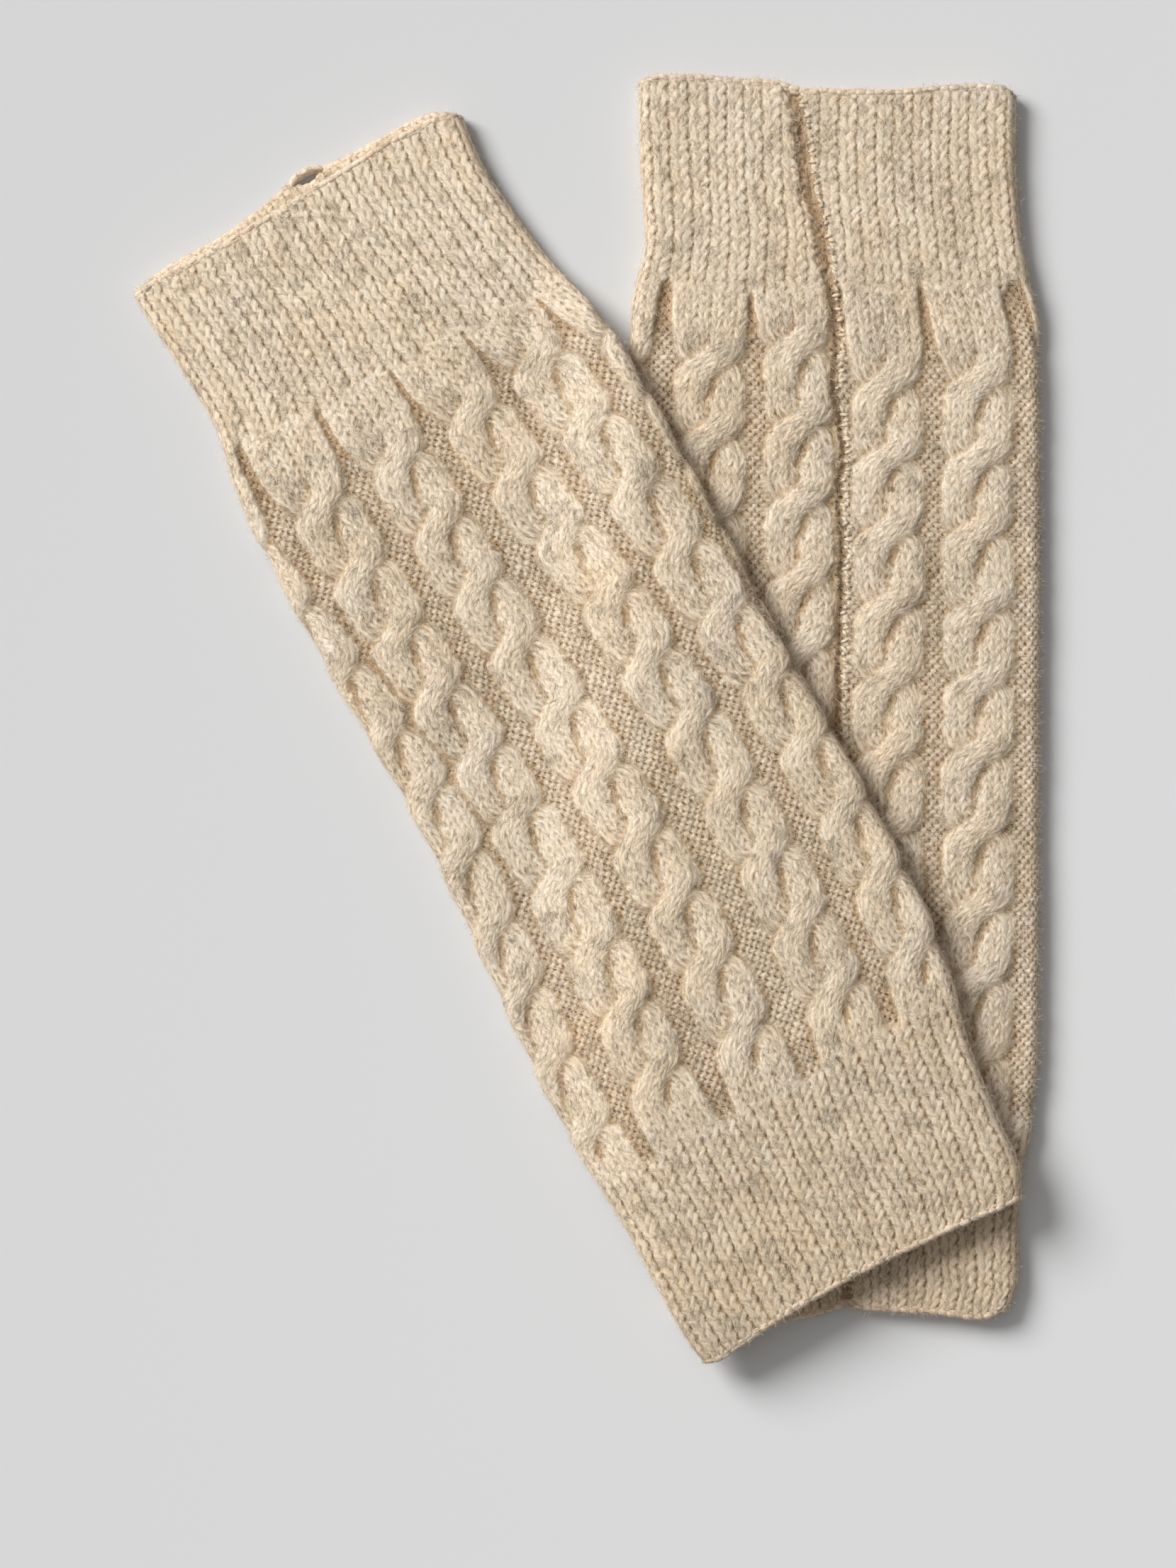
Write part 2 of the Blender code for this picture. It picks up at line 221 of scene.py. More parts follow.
def lift(warmer, x, y):
    """Height of a leg warmer's underside: 0 on the floor, more where it climbs on to the other."""
    if "climbs_on" not in warmer:
        return np.zeros(np.broadcast(x, y).shape)
    under = warmer["climbs_on"]
    full, start, side_slope, end_slope = warmer["climb"]
    along = np.clip(under["top"][1] - y, 0.0, length_of(under))
    middle, _ = place(under, 0.0, along)
    left, right, _, _ = outline(under, along)
    outside_left = middle + left - x
    outside_right = x - middle - right
    past_end = under["bottom"][1] - y
    beside = 1 - ease((np.maximum(outside_left, outside_right) + start) / side_slope)
    beyond = 1 - ease((past_end + start) / end_slope)
    return full * beside * beyond


def sag(warmer, x, y):
    """The cloth's own soft unevenness where it lies flat."""
    seed = 40 if warmer["seam_on"] == "top" else 60
    loose = 1 - covered(warmer, x, y)
    return loose * (0.35 * drift(x / 31.0, y / 37.0, seed) + 0.2 * drift(x / 13.0, y / 17.0, seed + 1))


def covered(warmer, x, y):
    """1 where the other leg warmer lies on this one, easing to 0 at its outline."""
    if "covered" not in warmer:
        return np.zeros(np.broadcast(x, y).shape)
    (top_x, top_y), (end_x, end_y), half = warmer["covered"]
    length = math.dist((top_x, top_y), (end_x, end_y))
    down_x, down_y = (end_x - top_x) / length, (end_y - top_y) / length
    along = (x - top_x) * down_x + (y - top_y) * down_y
    across = (x - top_x) * down_y - (y - top_y) * down_x
    inside = np.minimum(half - np.abs(across), np.minimum(along, length - along))
    return ease(inside / 12.0 + 0.5)


def laid(warmer, along, around, relief, layer=0.0, past=0.0):
    """Points of the cloth in space, in millimetres. relief stands out from the wall, and past is
    how far a rim reaches beyond the row it turns at."""
    across, height, out_across, out_height = section(warmer, along, around, layer)
    flat = ease((height - 2.0) / 5.0) * (1 - layer)
    reach = edge_reach(warmer, across, height, along)
    x, y = place(warmer, across, along + reach)
    relief = relief * (1 - PRESSED * covered(warmer, x, y))
    x, y = place(warmer, across + out_across * relief, along + reach + past)
    z = np.maximum(height + out_height * relief, 0.0) + lift(warmer, x, y) + flat * sag(warmer, x, y)
    return np.stack(np.broadcast_arrays(x, y, z), -1)


def plain_marks(along, around):
    """The stitch marks where no single stitch is modelled."""
    shape = np.broadcast(along, around).shape
    return {"stitch": np.stack([np.broadcast_to(around * WALES, shape),
                                np.broadcast_to(along / RIB_ROW, shape), np.zeros(shape)], -1),
            "hollow_shade": np.full(shape, PLAIN_SHADE),
            "loose": np.zeros(shape),
            "lie": np.zeros(shape + (3,))}


def count_jumps(stitch):
    """1 on the points where one count of stitches meets another, and the points next to them."""
    jump = np.zeros(stitch.shape[:2])
    for axis in (0, 1):
        change = np.abs(np.diff(stitch, axis=axis))
        crossed = (change[..., 0] > 0.45) | (change[..., 1] > 0.45) | (change[..., 2] > 0.2)
        crossed = crossed.astype(float)
        before = [(0, 0), (0, 0)]
        after = [(0, 0), (0, 0)]
        before[axis], after[axis] = (0, 1), (1, 0)
        jump = np.maximum(jump, np.maximum(np.pad(crossed, before), np.pad(crossed, after)))
    return jump


def knit_bulge(column_at, row_at, reach, seed):
    """Columns of knit stitches, each stitch a V of two plump legs that points down the work.
    column_at counts the columns and row_at the rows; reach is how many rows a leg climbs. Gives
    the legs' roundness, about 0 to 1."""
    column = np.floor(column_at)
    aside = 2 * np.abs(column_at - column - 0.5)
    leg = row_at + reach * aside
    from_middle = 2 * np.abs(leg - np.floor(leg) - 0.5)
    plump = 0.72 + 0.56 * chance(column * 2 + (column_at - column > 0.5), np.floor(leg), seed)
    return np.sqrt(np.clip(1 - 0.88 * from_middle ** 2 - 0.80 * np.abs(2 * aside - 1) ** 3, 0, 1)) * plump


def rib_rows(warmer, along):
    """Counts the rib's rows; the bottom cuff's go on from the leg's last row."""
    cuff_end, cuff_start = warmer["cuff_ends"]
    leg_rows = (cuff_start - cuff_end) / LEG_ROW
    from_bottom = (cuff_end - cuff_start) / RIB_ROW + leg_rows
    return along / RIB_ROW + np.where(along > (cuff_end + cuff_start) / 2, from_bottom, 0.0)


def rib_face(warmer, along, around):
    """Knit-one purl-one rib: the knit columns stand close together and hide the purl ones. Gives
    the relief, the stitch marks and the fibres' slant."""
    seed = 300 if warmer["seam_on"] == "top" else 200
    along = np.broadcast_to(along, np.broadcast(along, around).shape)
    wale = around * WALES
    wale = (wale + 0.10 * drift(around * 9.0, along / 30.0, seed)
            + 0.09 * drift(wale * 1.2, along / 4.2, seed + 1))
    rows = rib_rows(warmer, along) + 0.30 * drift(wale * 0.7, along / 9.0, seed + 2)
    wale = wale + 0.045 * np.sin(2 * math.pi * rows)
    aside = 2 * np.abs(wale - np.floor(wale) - 0.5)
    crisp = np.where(along > length_of(warmer) / 2, warmer["crisp"][1], warmer["crisp"][0])
    whole = np.sqrt(np.clip(1 - 0.97 * aside ** 2, 0, 1))
    halves = np.sqrt(np.clip(1 - 0.95 * (2 * aside - 1) ** 2, 0, 1))
    ridge = (RIB_RIDGE * whole + RIB_HALF_RIDGE * halves) * (1 + 0.25 * drift(wale, rows / 2.3, seed + 5))
    slit = RIB_SLIT * np.clip((aside - 0.80) / 0.20, 0, 1) ** 1.5
    slit = slit * (1 + 0.9 * drift(wale, along / 5.0, seed + 9))
    relief = ridge - slit + crisp * knit_bulge(wale, rows, RIB_REACH, seed + 3) - RIB_SUNK
    return relief, np.stack([wale, rows, np.full(rows.shape, RIB)], -1), np.zeros(rows.shape)


def rib(warmer, along, around):
    """The rib with the back seam let into it."""
    return seam_groove(warmer, along, around, *rib_face(warmer, along, around))


def seam_line(warmer, along, around):
    """How far to the right of the back seam a point lies, in millimetres round the section."""
    left, right, _, whole = outline(warmer, along)
    middle = FOLD - FOLD_RADIUS + (right - left) * read(warmer["seam"], along, 1)
    return around * whole - middle + 0.9 * drift(along / 17.0, 0.0, 91) + 0.5 * drift(along / 5.0, 0.0, 92)


def under_seam_line(warmer, along, around):
    """The same for a seam that lies on the underside, where around runs back from 1 to 2."""
    left, right, face, _ = outline(warmer, along)
    return FOLD_RADIUS + (2 - around) * face - (right - left) * read(warmer["seam"], along, 1)


def in_top_cuff(warmer, along):
    """1 in the top cuff, easing to 0 over the leg's first rows."""
    return 1 - ease((along - warmer["cuff_ends"][0] + 6.0) / 16.0)


def seam_groove(warmer, along, around, relief, stitch, slant):
    """The joined selvedges: the left one rolls under, widest in the cuffs, and the right one ends
    in a row of short bars, which are pieces of their own."""
    if warmer["seam_on"] != "top":
        return relief, stitch, slant
    beside = seam_line(warmer, along, around)
    in_bottom_cuff = ease((along - warmer["cuff_ends"][1]) / 12.0)
    in_cuff = np.maximum(in_top_cuff(warmer, along), 0.6 * in_bottom_cuff)
    wide = SEAM_WIDTH + SEAM_CUFF_WIDTH * in_cuff
    rolled = -SEAM_DEPTH * ease((beside + wide) / wide) * (beside <= 0.5)
    lip = -SEAM_DEPTH * (1 - ease((beside - 0.1) / 1.8)) * (beside > 0.5)
    fade = ease((beside + wide + 0.8) / 1.6) * (1 - ease((beside - 0.6) / 1.6))
    ragged = 0.60 * drift(beside / 1.1, along / 1.1, 93) * fade
    return relief * (1 - 0.75 * fade) + rolled + lip + ragged, stitch, slant


def unit(vectors):
    """Vectors of length one."""
    return vectors / np.maximum(np.linalg.norm(vectors, axis=-1, keepdims=True), 1e-6)


def soften(values, passes):
    """Round a grid of heights off a little, as the felted nap does."""
    for _ in range(passes):
        padded = np.pad(values, 1, mode="edge")
        values = (padded[1:-1, 1:-1] * 0.5 + (padded[:-2, 1:-1] + padded[2:, 1:-1]
                  + padded[1:-1, :-2] + padded[1:-1, 2:]) * 0.125)
    return values


def around_mean(values, reach):
    """The mean of a grid over a square of that many cells each way."""
    padded = np.pad(values, ((reach + 1, reach), (reach + 1, reach)), mode="edge")
    total = padded.cumsum(0).cumsum(1)
    size = 2 * reach + 1
    return (total[size:, size:] - total[:-size, size:] - total[size:, :-size]
            + total[:-size, :-size]) / size ** 2


def hollows(warmer, relief, along, around):
    """How much painted shade each place of the face gets, 0 to 1, from how deep it lies in a hollow:
    between the stitches, between the ropes and in the back seam's groove."""
    near, wide = ((around_mean(relief, cells) - relief) * weight
                  for cells, weight in (HOLLOW_NEAR, HOLLOW_WIDE))
    hollow_shade = np.clip(near + wide + HOLLOW_LEVEL, 0.0, 1.0)
    if warmer["seam_on"] == "top":
        beside = seam_line(warmer, along, around)
        shade = np.exp(-np.clip(-beside - 0.4, 0, 9) ** 2 / 8.0) * (1 - ease((beside - 0.3) / 1.3))
        shade = HOLLOW_SEAM * shade * (1 + 0.45 * drift(beside / 1.6, along / 2.4, 97))
        hollow_shade = np.clip(hollow_shade + shade, 0.0, 1.0)
    return hollow_shade


def grid_faces(numbers, heights):
    """Two triangles for each cell of a grid, split along its more level diagonal."""
    a, b = numbers[:-1, :-1], numbers[:-1, 1:]
    c, d = numbers[1:, 1:], numbers[1:, :-1]
    level = np.abs(heights[:-1, :-1] - heights[1:, 1:]) <= np.abs(heights[:-1, 1:] - heights[1:, :-1])
    first = np.where(level[..., None], np.stack([a, c, b], -1), np.stack([a, d, b], -1))
    second = np.where(level[..., None], np.stack([a, d, c], -1), np.stack([b, d, c], -1))
    return np.concatenate([first.reshape(-1, 3), second.reshape(-1, 3)])


def merge_hidden(numbers, heights, hidden, block=6):
    """A grid's triangles, with far fewer where it is hidden: there a block of cells becomes a
    fan round its middle, which keeps every point that it shares with a finer neighbour."""
    rows, columns = numbers.shape[0] - 1, numbers.shape[1] - 1
    row_edges = np.append(np.arange(0, rows, block), rows)
    column_edges = np.append(np.arange(0, columns, block), columns)
    dark = np.zeros((len(row_edges) + 1, len(column_edges) + 1), bool)
    for i in range(len(row_edges) - 1):
        for j in range(len(column_edges) - 1):
            part = hidden[row_edges[i]:row_edges[i + 1] + 1, column_edges[j]:column_edges[j + 1] + 1]
            dark[i + 1, j + 1] = part.all()
    keep = np.ones((rows, columns), bool)
    fans = []
    for i, j in zip(*np.where(dark)):
        top, bottom = row_edges[i - 1], row_edges[i]
        left, right = column_edges[j - 1], column_edges[j]
        keep[top:bottom, left:right] = False
        step_top = bottom - top
        step_side = right - left
        ring = list(numbers[top, left:right:1 if not dark[i - 1, j] else step_side])
        ring += list(numbers[top:bottom:1 if not dark[i, j + 1] else step_top, right])
        ring += list(numbers[bottom, right:left:-1 if not dark[i + 1, j] else -step_side])
        ring += list(numbers[bottom:top:-1 if not dark[i, j - 1] else -step_top, left])
        centre = numbers[(top + bottom) // 2, (left + right) // 2]
        fans += [(centre, ring[k - 1], ring[k]) for k in range(len(ring))]
    faces = grid_faces(numbers, heights).reshape(2, rows, columns, 3)[:, keep].reshape(-1, 3)
    return np.concatenate([faces, np.array(fans)[:, ::-1]]) if fans else faces


def strip_faces(first, first_share, second, second_share):
    """Triangles between two lines of points that run the same way at their own spacings."""
    faces = []
    i = j = 0
    while i < len(first) - 1 or j < len(second) - 1:
        step_first = j == len(second) - 1 or (
            i < len(first) - 1 and first_share[i + 1] <= second_share[j + 1])
        if step_first:
            faces.append((first[i], second[j], first[i + 1]))
            i += 1
        else:
            faces.append((first[i], second[j], second[j + 1]))
            j += 1
    return np.array(faces)


def in_frame(piece):
    """Fix a finished piece to the frame's one body."""
    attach(piece, "root")
    return piece


def put(name, data):
    """A new object in the scene."""
    made = bpy.data.objects.new(name, data)
    bpy.context.scene.collection.objects.link(made)
    return made


def make_mesh(name, points, faces, marks, material):
    """A mesh object from points in millimetres, with the yarn's coordinates kept on its points."""
    mesh = bpy.data.meshes.new(name)
    mesh.vertices.add(len(points))
    mesh.vertices.foreach_set("co", (points * MM).astype(np.float32).ravel())
    mesh.loops.add(faces.size)
    mesh.loops.foreach_set("vertex_index", faces.astype(np.int32).ravel())
    mesh.polygons.add(len(faces))
    mesh.polygons.foreach_set("loop_start", np.arange(0, faces.size, 3, dtype=np.int32))
    mesh.update(calc_edges=True)
    mesh.shade_smooth()
    for mark, values in marks.items():
        kind = "FLOAT_VECTOR" if values.ndim == 2 else "FLOAT"
        field = "vector" if values.ndim == 2 else "value"
        attribute = mesh.attributes.new(mark, kind, "POINT")
        attribute.data.foreach_set(field, values.astype(np.float32).ravel())
    mesh.materials.append(material)
    return put(name, mesh)


def knit_tube(name, warmer, start, end, row_step, pattern, material, mouths=()):
    """One length of a leg warmer's wall: a closed shell with the pattern's stitches on its face.
    mouths says which of its ends, "top" or "bottom", are open edges with a bound-off rim."""
    rim = WALL / 2
    first = start + rim if "top" in mouths else start
    last = end - rim if "bottom" in mouths else end
    rows = int(round((last - first) / row_step))
    step = (last - first) / rows
    along = (first + step * np.arange(-1, rows + 2))[:, None]
    around = np.linspace(0.0, 1.0, FACE_COLUMNS + 1)[None, :]
    relief, stitch, slant = pattern(warmer, along, around)
    # Painted shade for the hollows, kept on the points
    hollow_shade = hollows(warmer, relief, along, around)
    loose = count_jumps(stitch)
    across, height, _, _ = section(warmer, along, around, 0.0)
    relief = relief * ease((height + 0.6) / 3.4)
    face = laid(warmer, along, around, relief)
    slope_down = np.gradient(face, axis=0)[1:-1]
    slope_across = np.gradient(face, axis=1)[1:-1]
    outward = unit(np.cross(slope_down, slope_across))
    # The rows just past both ends were only there for the slopes
    face, stitch, slant, hollow_shade, loose, relief = (
        grid[1:-1] for grid in (face, stitch, slant, hollow_shade, loose, relief))
    lie = unit(unit(slope_down) + unit(slope_across) * slant[..., None])
    points, marks = [], []

    def add(new_points, new_marks):
        """Add a grid of points; gives their numbers."""
        begin = sum(len(part) for part in points)
        points.append(new_points.reshape(-1, 3))
        marks.append({key: value.reshape((-1, 3) if value.ndim == 3 else -1)
                      for key, value in new_marks.items()})
        return begin + np.arange(new_points[..., 0].size).reshape(new_points.shape[:2])

    def closed(grid):
        """A grid with its first column once more at the end."""
        return np.concatenate([grid, grid[:, :1]], 1)

    face_numbers = add(face, {"stitch": stitch, "hollow_shade": hollow_shade, "loose": loose, "lie": lie})
    hidden = covered(warmer, face[..., 0], face[..., 1]) >= 1.0
    faces = [merge_hidden(face_numbers, face[..., 2], hidden)]

    # The underside, pressed flat
    under_rows = int(round((last - first) / UNDER_STEP))
    under_along = np.linspace(first, last, under_rows + 1)[:, None]
    under_around = 1 + np.linspace(0.0, 1.0, UNDER_COLUMNS + 2)[None, 1:-1]
    dent = -UNDER_DENT * (1 + drift(under_around * 25, under_along / 9.0, 77))
    if warmer["seam_on"] == "under":
        dent = dent - np.exp(-(under_seam_line(warmer, under_along, under_around) / 1.8) ** 2)
    under = laid(warmer, under_along, under_around, dent)
    under_numbers = add(under, plain_marks(under_along, under_around))
    faces.append(grid_faces(under_numbers, under[..., 2]))
    face_share = np.linspace(0.0, 1.0, rows + 1)
    under_share = np.linspace(0.0, 1.0, under_rows + 1)
    faces.append(strip_faces(face_numbers[:, -1], face_share, under_numbers[:, 0], under_share))
    faces.append(strip_faces(under_numbers[:, -1], under_share, face_numbers[:, 0], face_share))

    # The inner face of the wall
    inner_rows = max(int(round((last - first) / INNER_STEP)), 2)
    inner_along = np.linspace(first, last, inner_rows + 1)[:, None]
    inner_around = np.linspace(0.0, 2.0, INNER_COLUMNS, endpoint=False)[None, :]
    inner = laid(warmer, inner_along, inner_around, 0.0, layer=1.0)
    inner_numbers = add(inner, plain_marks(inner_along, inner_around))
    faces.append(grid_faces(closed(inner_numbers), closed(inner[..., 2]))[:, ::-1])

    # The two ends: a rounded rim at a mouth, or a plain edge that meets the next length
    ring_around = np.concatenate([around, under_around], 1)
    for end_name, row, way, turn_along in (("top", 0, -1, first), ("bottom", -1, 1, last)):
        outer_ring = np.concatenate([face_numbers[row], under_numbers[row]])[None, :]
        shape_there = np.concatenate([relief[row], dent[row]])[None, :]
        for turn in range(1, RIM_TURNS) if end_name in mouths else ():
            angle = math.pi * turn / RIM_TURNS
            ring_row = laid(warmer, np.full((1, 1), turn_along), ring_around,
                            shape_there * max(math.cos(angle), 0.0),
                            layer=(1 - math.cos(angle)) / 2, past=way * rim * math.sin(angle))
            marks_along = np.full((1, 1), turn_along + way * turn * RIM_TURN_LENGTH)
            numbers = add(ring_row, plain_marks(marks_along, ring_around))
            pair = closed(np.concatenate([outer_ring, numbers]))
            faces.append(grid_faces(pair, np.zeros(pair.shape))[:, ::way])
            outer_ring = numbers
        faces.append(strip_faces(closed(outer_ring)[0], np.append(ring_around, 2.0),
                                 closed(inner_numbers)[row], np.append(inner_around[0], 2.0))[:, ::way])

    points = np.concatenate(points)
    faces = np.concatenate(faces)
    used, faces = np.unique(faces, return_inverse=True)
    all_marks = {key: np.concatenate([part[key] for part in marks])[used] for key in marks[0]}
    piece = make_mesh(name, points[used], faces.reshape(-1, 3), all_marks, material)

    # Along a join, both lengths are shaded as the one cloth they are
    mesh = piece.data
    shading = np.empty(len(mesh.vertices) * 3, np.float32)
    mesh.vertex_normals.foreach_get("vector", shading)
    shading = shading.reshape(-1, 3)
    for end_name, row in (("top", 0), ("bottom", -1)):
        if end_name not in mouths:
            kept = np.isin(face_numbers[row], used)
            shading[np.searchsorted(used, face_numbers[row][kept])] = outward[row][kept]
    mesh.normals_split_custom_set_from_vertices(shading)
    return piece


def melange_group():
    """Carded melange yarn as it lies in the stitches. Stitch counts columns and rows, and its third
    part is the kind of stitch; the second input is how deep a place lies, which sets the painted
    shade of the hollows; Loose is 1 where no single stitch shows. Gives the colour, with painted
    shade in the hollows and in the gaps between stitches, and a height in millimetres."""
    group = bpy.data.node_groups.new("melange yarn", "ShaderNodeTree")
    for label, way, kind, value in (("Stitch", "INPUT", "Vector", None),
                                    ("Hollow shade", "INPUT", "Float", 0.0),
                                    ("Loose", "INPUT", "Float", 0.0),
                                    ("Pale fibre", "INPUT", "Color", (0.98, 0.850, 0.680, 1)),
                                    ("Warm fibre", "INPUT", "Color", (0.96, 0.765, 0.530, 1)),
                                    ("Grey fibre", "INPUT", "Color", (0.370, 0.325, 0.262, 1)),
                                    ("Dark fibre", "INPUT", "Color", (0.25, 0.170, 0.092, 1)),
                                    ("Deep shade", "INPUT", "Color", (0.23, 0.130, 0.052, 1)),
                                    ("Hollow shade tint", "INPUT", "Color", (0.56, 0.460, 0.340, 1)),
                                    ("Colour", "OUTPUT", "Color", None),
                                    ("Height", "OUTPUT", "Float", None)):
        socket = group.interface.new_socket(name=label, in_out=way, socket_type="NodeSocket" + kind)
        if value is not None:
            socket.default_value = value
    nodes, links = group.nodes, group.links

    class Wire:
        """A node's output, which sums are written with as with a number."""

        def __init__(self, socket):
            self.socket = socket

        def __add__(self, other):
            return calc("ADD", self, other)

        def __sub__(self, other):
            return calc("SUBTRACT", self, other)

        def __rsub__(self, other):
            return calc("SUBTRACT", other, self)

        def __mul__(self, other):
            return calc("MULTIPLY", self, other)

        def __abs__(self):
            return calc("ABSOLUTE", self)

    def feed(node, *values):
        """Set a node's inputs in turn, from wires or plain values."""
        for socket, value in zip(node.inputs, values):
            if isinstance(value, Wire):
                links.new(value.socket, socket)
            elif value is not None:
                socket.default_value = value
        return node

    def calc(operation, *values):
        """A sum on single values, or on vectors if any of them is one."""
        single = all(value.socket.type == "VALUE" if isinstance(value, Wire) else np.isscalar(value)
                     for value in values)
        node = nodes.new("ShaderNodeMath" if single else "ShaderNodeVectorMath")
        node.operation = operation
        return Wire(feed(node, *values).outputs[0])

    def joined(x, y, z):
        """A vector from its parts."""
        return Wire(feed(nodes.new("ShaderNodeCombineXYZ"), x, y, z).outputs[0])

    def noise(vector, scale, detail, roughness=0.55, output="Fac"):
        """Noise over a vector, about 0.5."""
        node = nodes.new("ShaderNodeTexNoise")
        node.inputs["Scale"].default_value = scale
        node.inputs["Detail"].default_value = detail
        node.inputs["Roughness"].default_value = roughness
        links.new(vector.socket, node.inputs["Vector"])
        return Wire(node.outputs[output])

    def swirled(scale, detail, roughness):
        """A vector that turns about zero from place to place."""
        return noise(place_of, scale, detail, roughness, "Color") - (0.5, 0.5, 0.5)

    def ranged(value, low, high, low_out=0.0, high_out=1.0):
        """A value spread from one range to another."""
        return Wire(feed(nodes.new("ShaderNodeMapRange"), value, low, high, low_out, high_out).outputs[0])

    def mixed(share, first, second):
        """Two vectors or colours mixed."""
        node = nodes.new("ShaderNodeMix")
        node.data_type = "VECTOR"
        return Wire(feed(node, share, None, None, None, first, second).outputs[1])

    def blend(share, first, second):
        """Two values mixed."""
        return first * (1.0 - share) + second * share

    def from_centre(count):
        """How far a count is from the middle of its unit, 0 to 1."""
        return abs(calc("FRACT", count) - 0.5) * 2.0

    given = {socket.name: Wire(socket) for socket in nodes.new("NodeGroupInput").outputs}
    stitch, hollow_shade, loose = given["Stitch"], given["Hollow shade"], given["Loose"]
    place_of = Wire(nodes.new("ShaderNodeTexCoord").outputs["Object"])

    # Where in its stitch a place lies; the yarn wavers a little
    wavy = stitch + swirled(330.0, 2.0, 0.6) * (0.32, 0.38, 0.0)
    parts = feed(nodes.new("ShaderNodeSeparateXYZ"), wavy)
    column_at, row_at, kind = (Wire(part) for part in parts.outputs)
    purl = calc("GREATER_THAN", kind, 0.6)
    rope = ranged(kind, 0.0, ROPE)
    across_mm = column_at * ranged(rope, 0.0, 1.0, 6.2, ROPE_STITCH)
    along_mm = row_at * 3.4

    # Knit: the V's two legs
    aside = from_centre(column_at)
    leg = row_at + aside * ranged(rope, 0.0, 1.0, RIB_REACH, ROPE_REACH)
    from_middle = from_centre(leg)
    white = nodes.new("ShaderNodeTexWhiteNoise")
    white.noise_dimensions = "3D"
    feed(white, joined(calc("FLOOR", column_at * 2.0), calc("FLOOR", leg), 0.0))
    own_tint = Wire(white.outputs["Value"])

    # Purl: grains in brick bond
    course = calc("FLOOR", row_at * 2.0)
    brick = column_at + calc("FLOORED_MODULO", course, 2.0) * 0.5
    right = calc("FRACT", brick) - 0.5
    down = calc("FRACT", row_at * 2.0) - 0.5 + right * 0.22
    from_grain = calc("SQRT", right * right + down * down) * 1.95

    # Painted shade: the dark lines in the gaps between stitches, broken where fibres cross them
    broken = ranged(noise(place_of, 620.0, 2.0, 0.6), 0.32, 0.52)
    whole = 1.0 - loose
    between_legs = ranged(from_middle, 0.55, 1.0) * ranged(aside, 0.45, 1.0, 0.15, 0.80)
    beside_column = ranged(aside, 0.78, 0.92) * ranged(rope, 0.0, 1.0, 0.95, 0.50)
    down_the_v = ranged(aside, 0.21, 0.08) * ranged(rope, 0.0, 1.0, 0.60, 0.40)
    knit_line = calc("MAXIMUM", between_legs, calc("MAXIMUM", beside_column, down_the_v))
    knit_line = knit_line * ranged(from_middle, 0.1, 0.9, 0.55, 1.0) * whole
    # Between purl grains that lie side by side there is a dot of shade; above and below them, little
    to_side = (abs(right) - 0.5) * 5.0
    dot = 1.0 - (to_side * to_side + down * down * 7.0)
    between_grains = calc("MAXIMUM", ranged(dot, -0.2, 0.6), ranged(from_grain, 0.70, 1.10) * 0.34)
    gap_shade = blend(purl, knit_line * broken, between_grains * ranged(broken, 0.0, 1.0, 0.60, 1.0)) * whole

    # Single fibres run along each leg; the felted nap runs along the work and swirls
    fibre_place = mixed(purl, joined(aside * 0.9, leg * 6.5, own_tint * 19.0),
                        joined(brick * 1.3, row_at * 7.0, 0.0))
    fibres = blend(loose, noise(fibre_place, 1.0, 3.0, 0.8), noise(place_of, 900.0, 2.0, 0.7))
    swirl = swirled(170.0, 3.0, 0.6)
    naps = [noise(joined((across_mm + along_mm * shear) * stretch, along_mm * 0.38, shear)
                  + swirl * (16.0, 2.0, 0.0), 1.0, 3.0, 0.7)
            for shear, stretch in ((0.40, 2.6), (-0.45, 3.8))]
    pale_nap = calc("MAXIMUM", ranged(naps[0], 0.53, 0.60), ranged(naps[1], 0.54, 0.61))
    dark_nap = calc("MAXIMUM", ranged(naps[0], 0.45, 0.39), ranged(naps[1], 0.44, 0.38))

    # Stray hairs lie across the stitches
    bent = place_of + swirled(230.0, 1.0, 0.5) * (0.0055, 0.0055, 0.0055)
    strays = []
    for turn, shift in ((15, 0.1), (105, 0.7)):
        turned = nodes.new("ShaderNodeMapping")
        turned.inputs["Rotation"].default_value = (0.3, 0.2, math.radians(turn))
        turned.inputs["Location"].default_value = (shift, shift, shift)
        links.new(bent.socket, turned.inputs["Vector"])
        strays.append(ranged(noise(Wire(turned.outputs[0]) * (210.0, 3300.0, 900.0), 1.0, 1.0), 0.60, 0.72))
    stray = calc("MAXIMUM", *strays)

    # The carding leaves wisps and patches of warm, pale and grey
    patches = noise(place_of, 55.0, 4.0, 0.65)
    wisps = noise(stitch * (1.1, 0.33, 0.0) + swirl * (2.0, 1.0, 0.0), 1.0, 3.0, 0.6)
    warmth = noise(place_of, 31.0, 3.0, 0.6)
    warm_share = ranged(wisps * 0.45 + (warmth * 0.50 + own_tint * 0.05), 0.40, 0.60, 0.05, 0.95)
    tufts = noise(stitch * (2.3, 0.9, 0.0) + swirl * (3.0, 1.5, 0.0), 1.0, 2.0, 0.6)
    fleck = ranged(noise(place_of, 125.0, 3.0, 0.6), 0.57, 0.67)
    tufted = (own_tint - 0.5) * 0.08 + (tufts - 0.5)
    grey_share = ranged(tufted + (wisps * 0.50 + patches * 0.75), 0.585, 0.845)
    grey_share = calc("MAXIMUM", grey_share, fleck) * ranged(naps[0], 0.58, 0.44, 0.45, 1.0)
    colour = mixed(warm_share, given["Pale fibre"], given["Warm fibre"])
    colour = mixed(grey_share * 0.72, colour, given["Grey fibre"])
    colour = mixed(dark_nap * ranged(grey_share, 0.0, 1.0, 0.16, 0.70), colour, given["Dark fibre"])
    colour = colour * (ranged(fibres, 0.34, 0.66, 0.82, 1.05) * ranged(pale_nap, 0.0, 1.0, 0.97, 1.05))
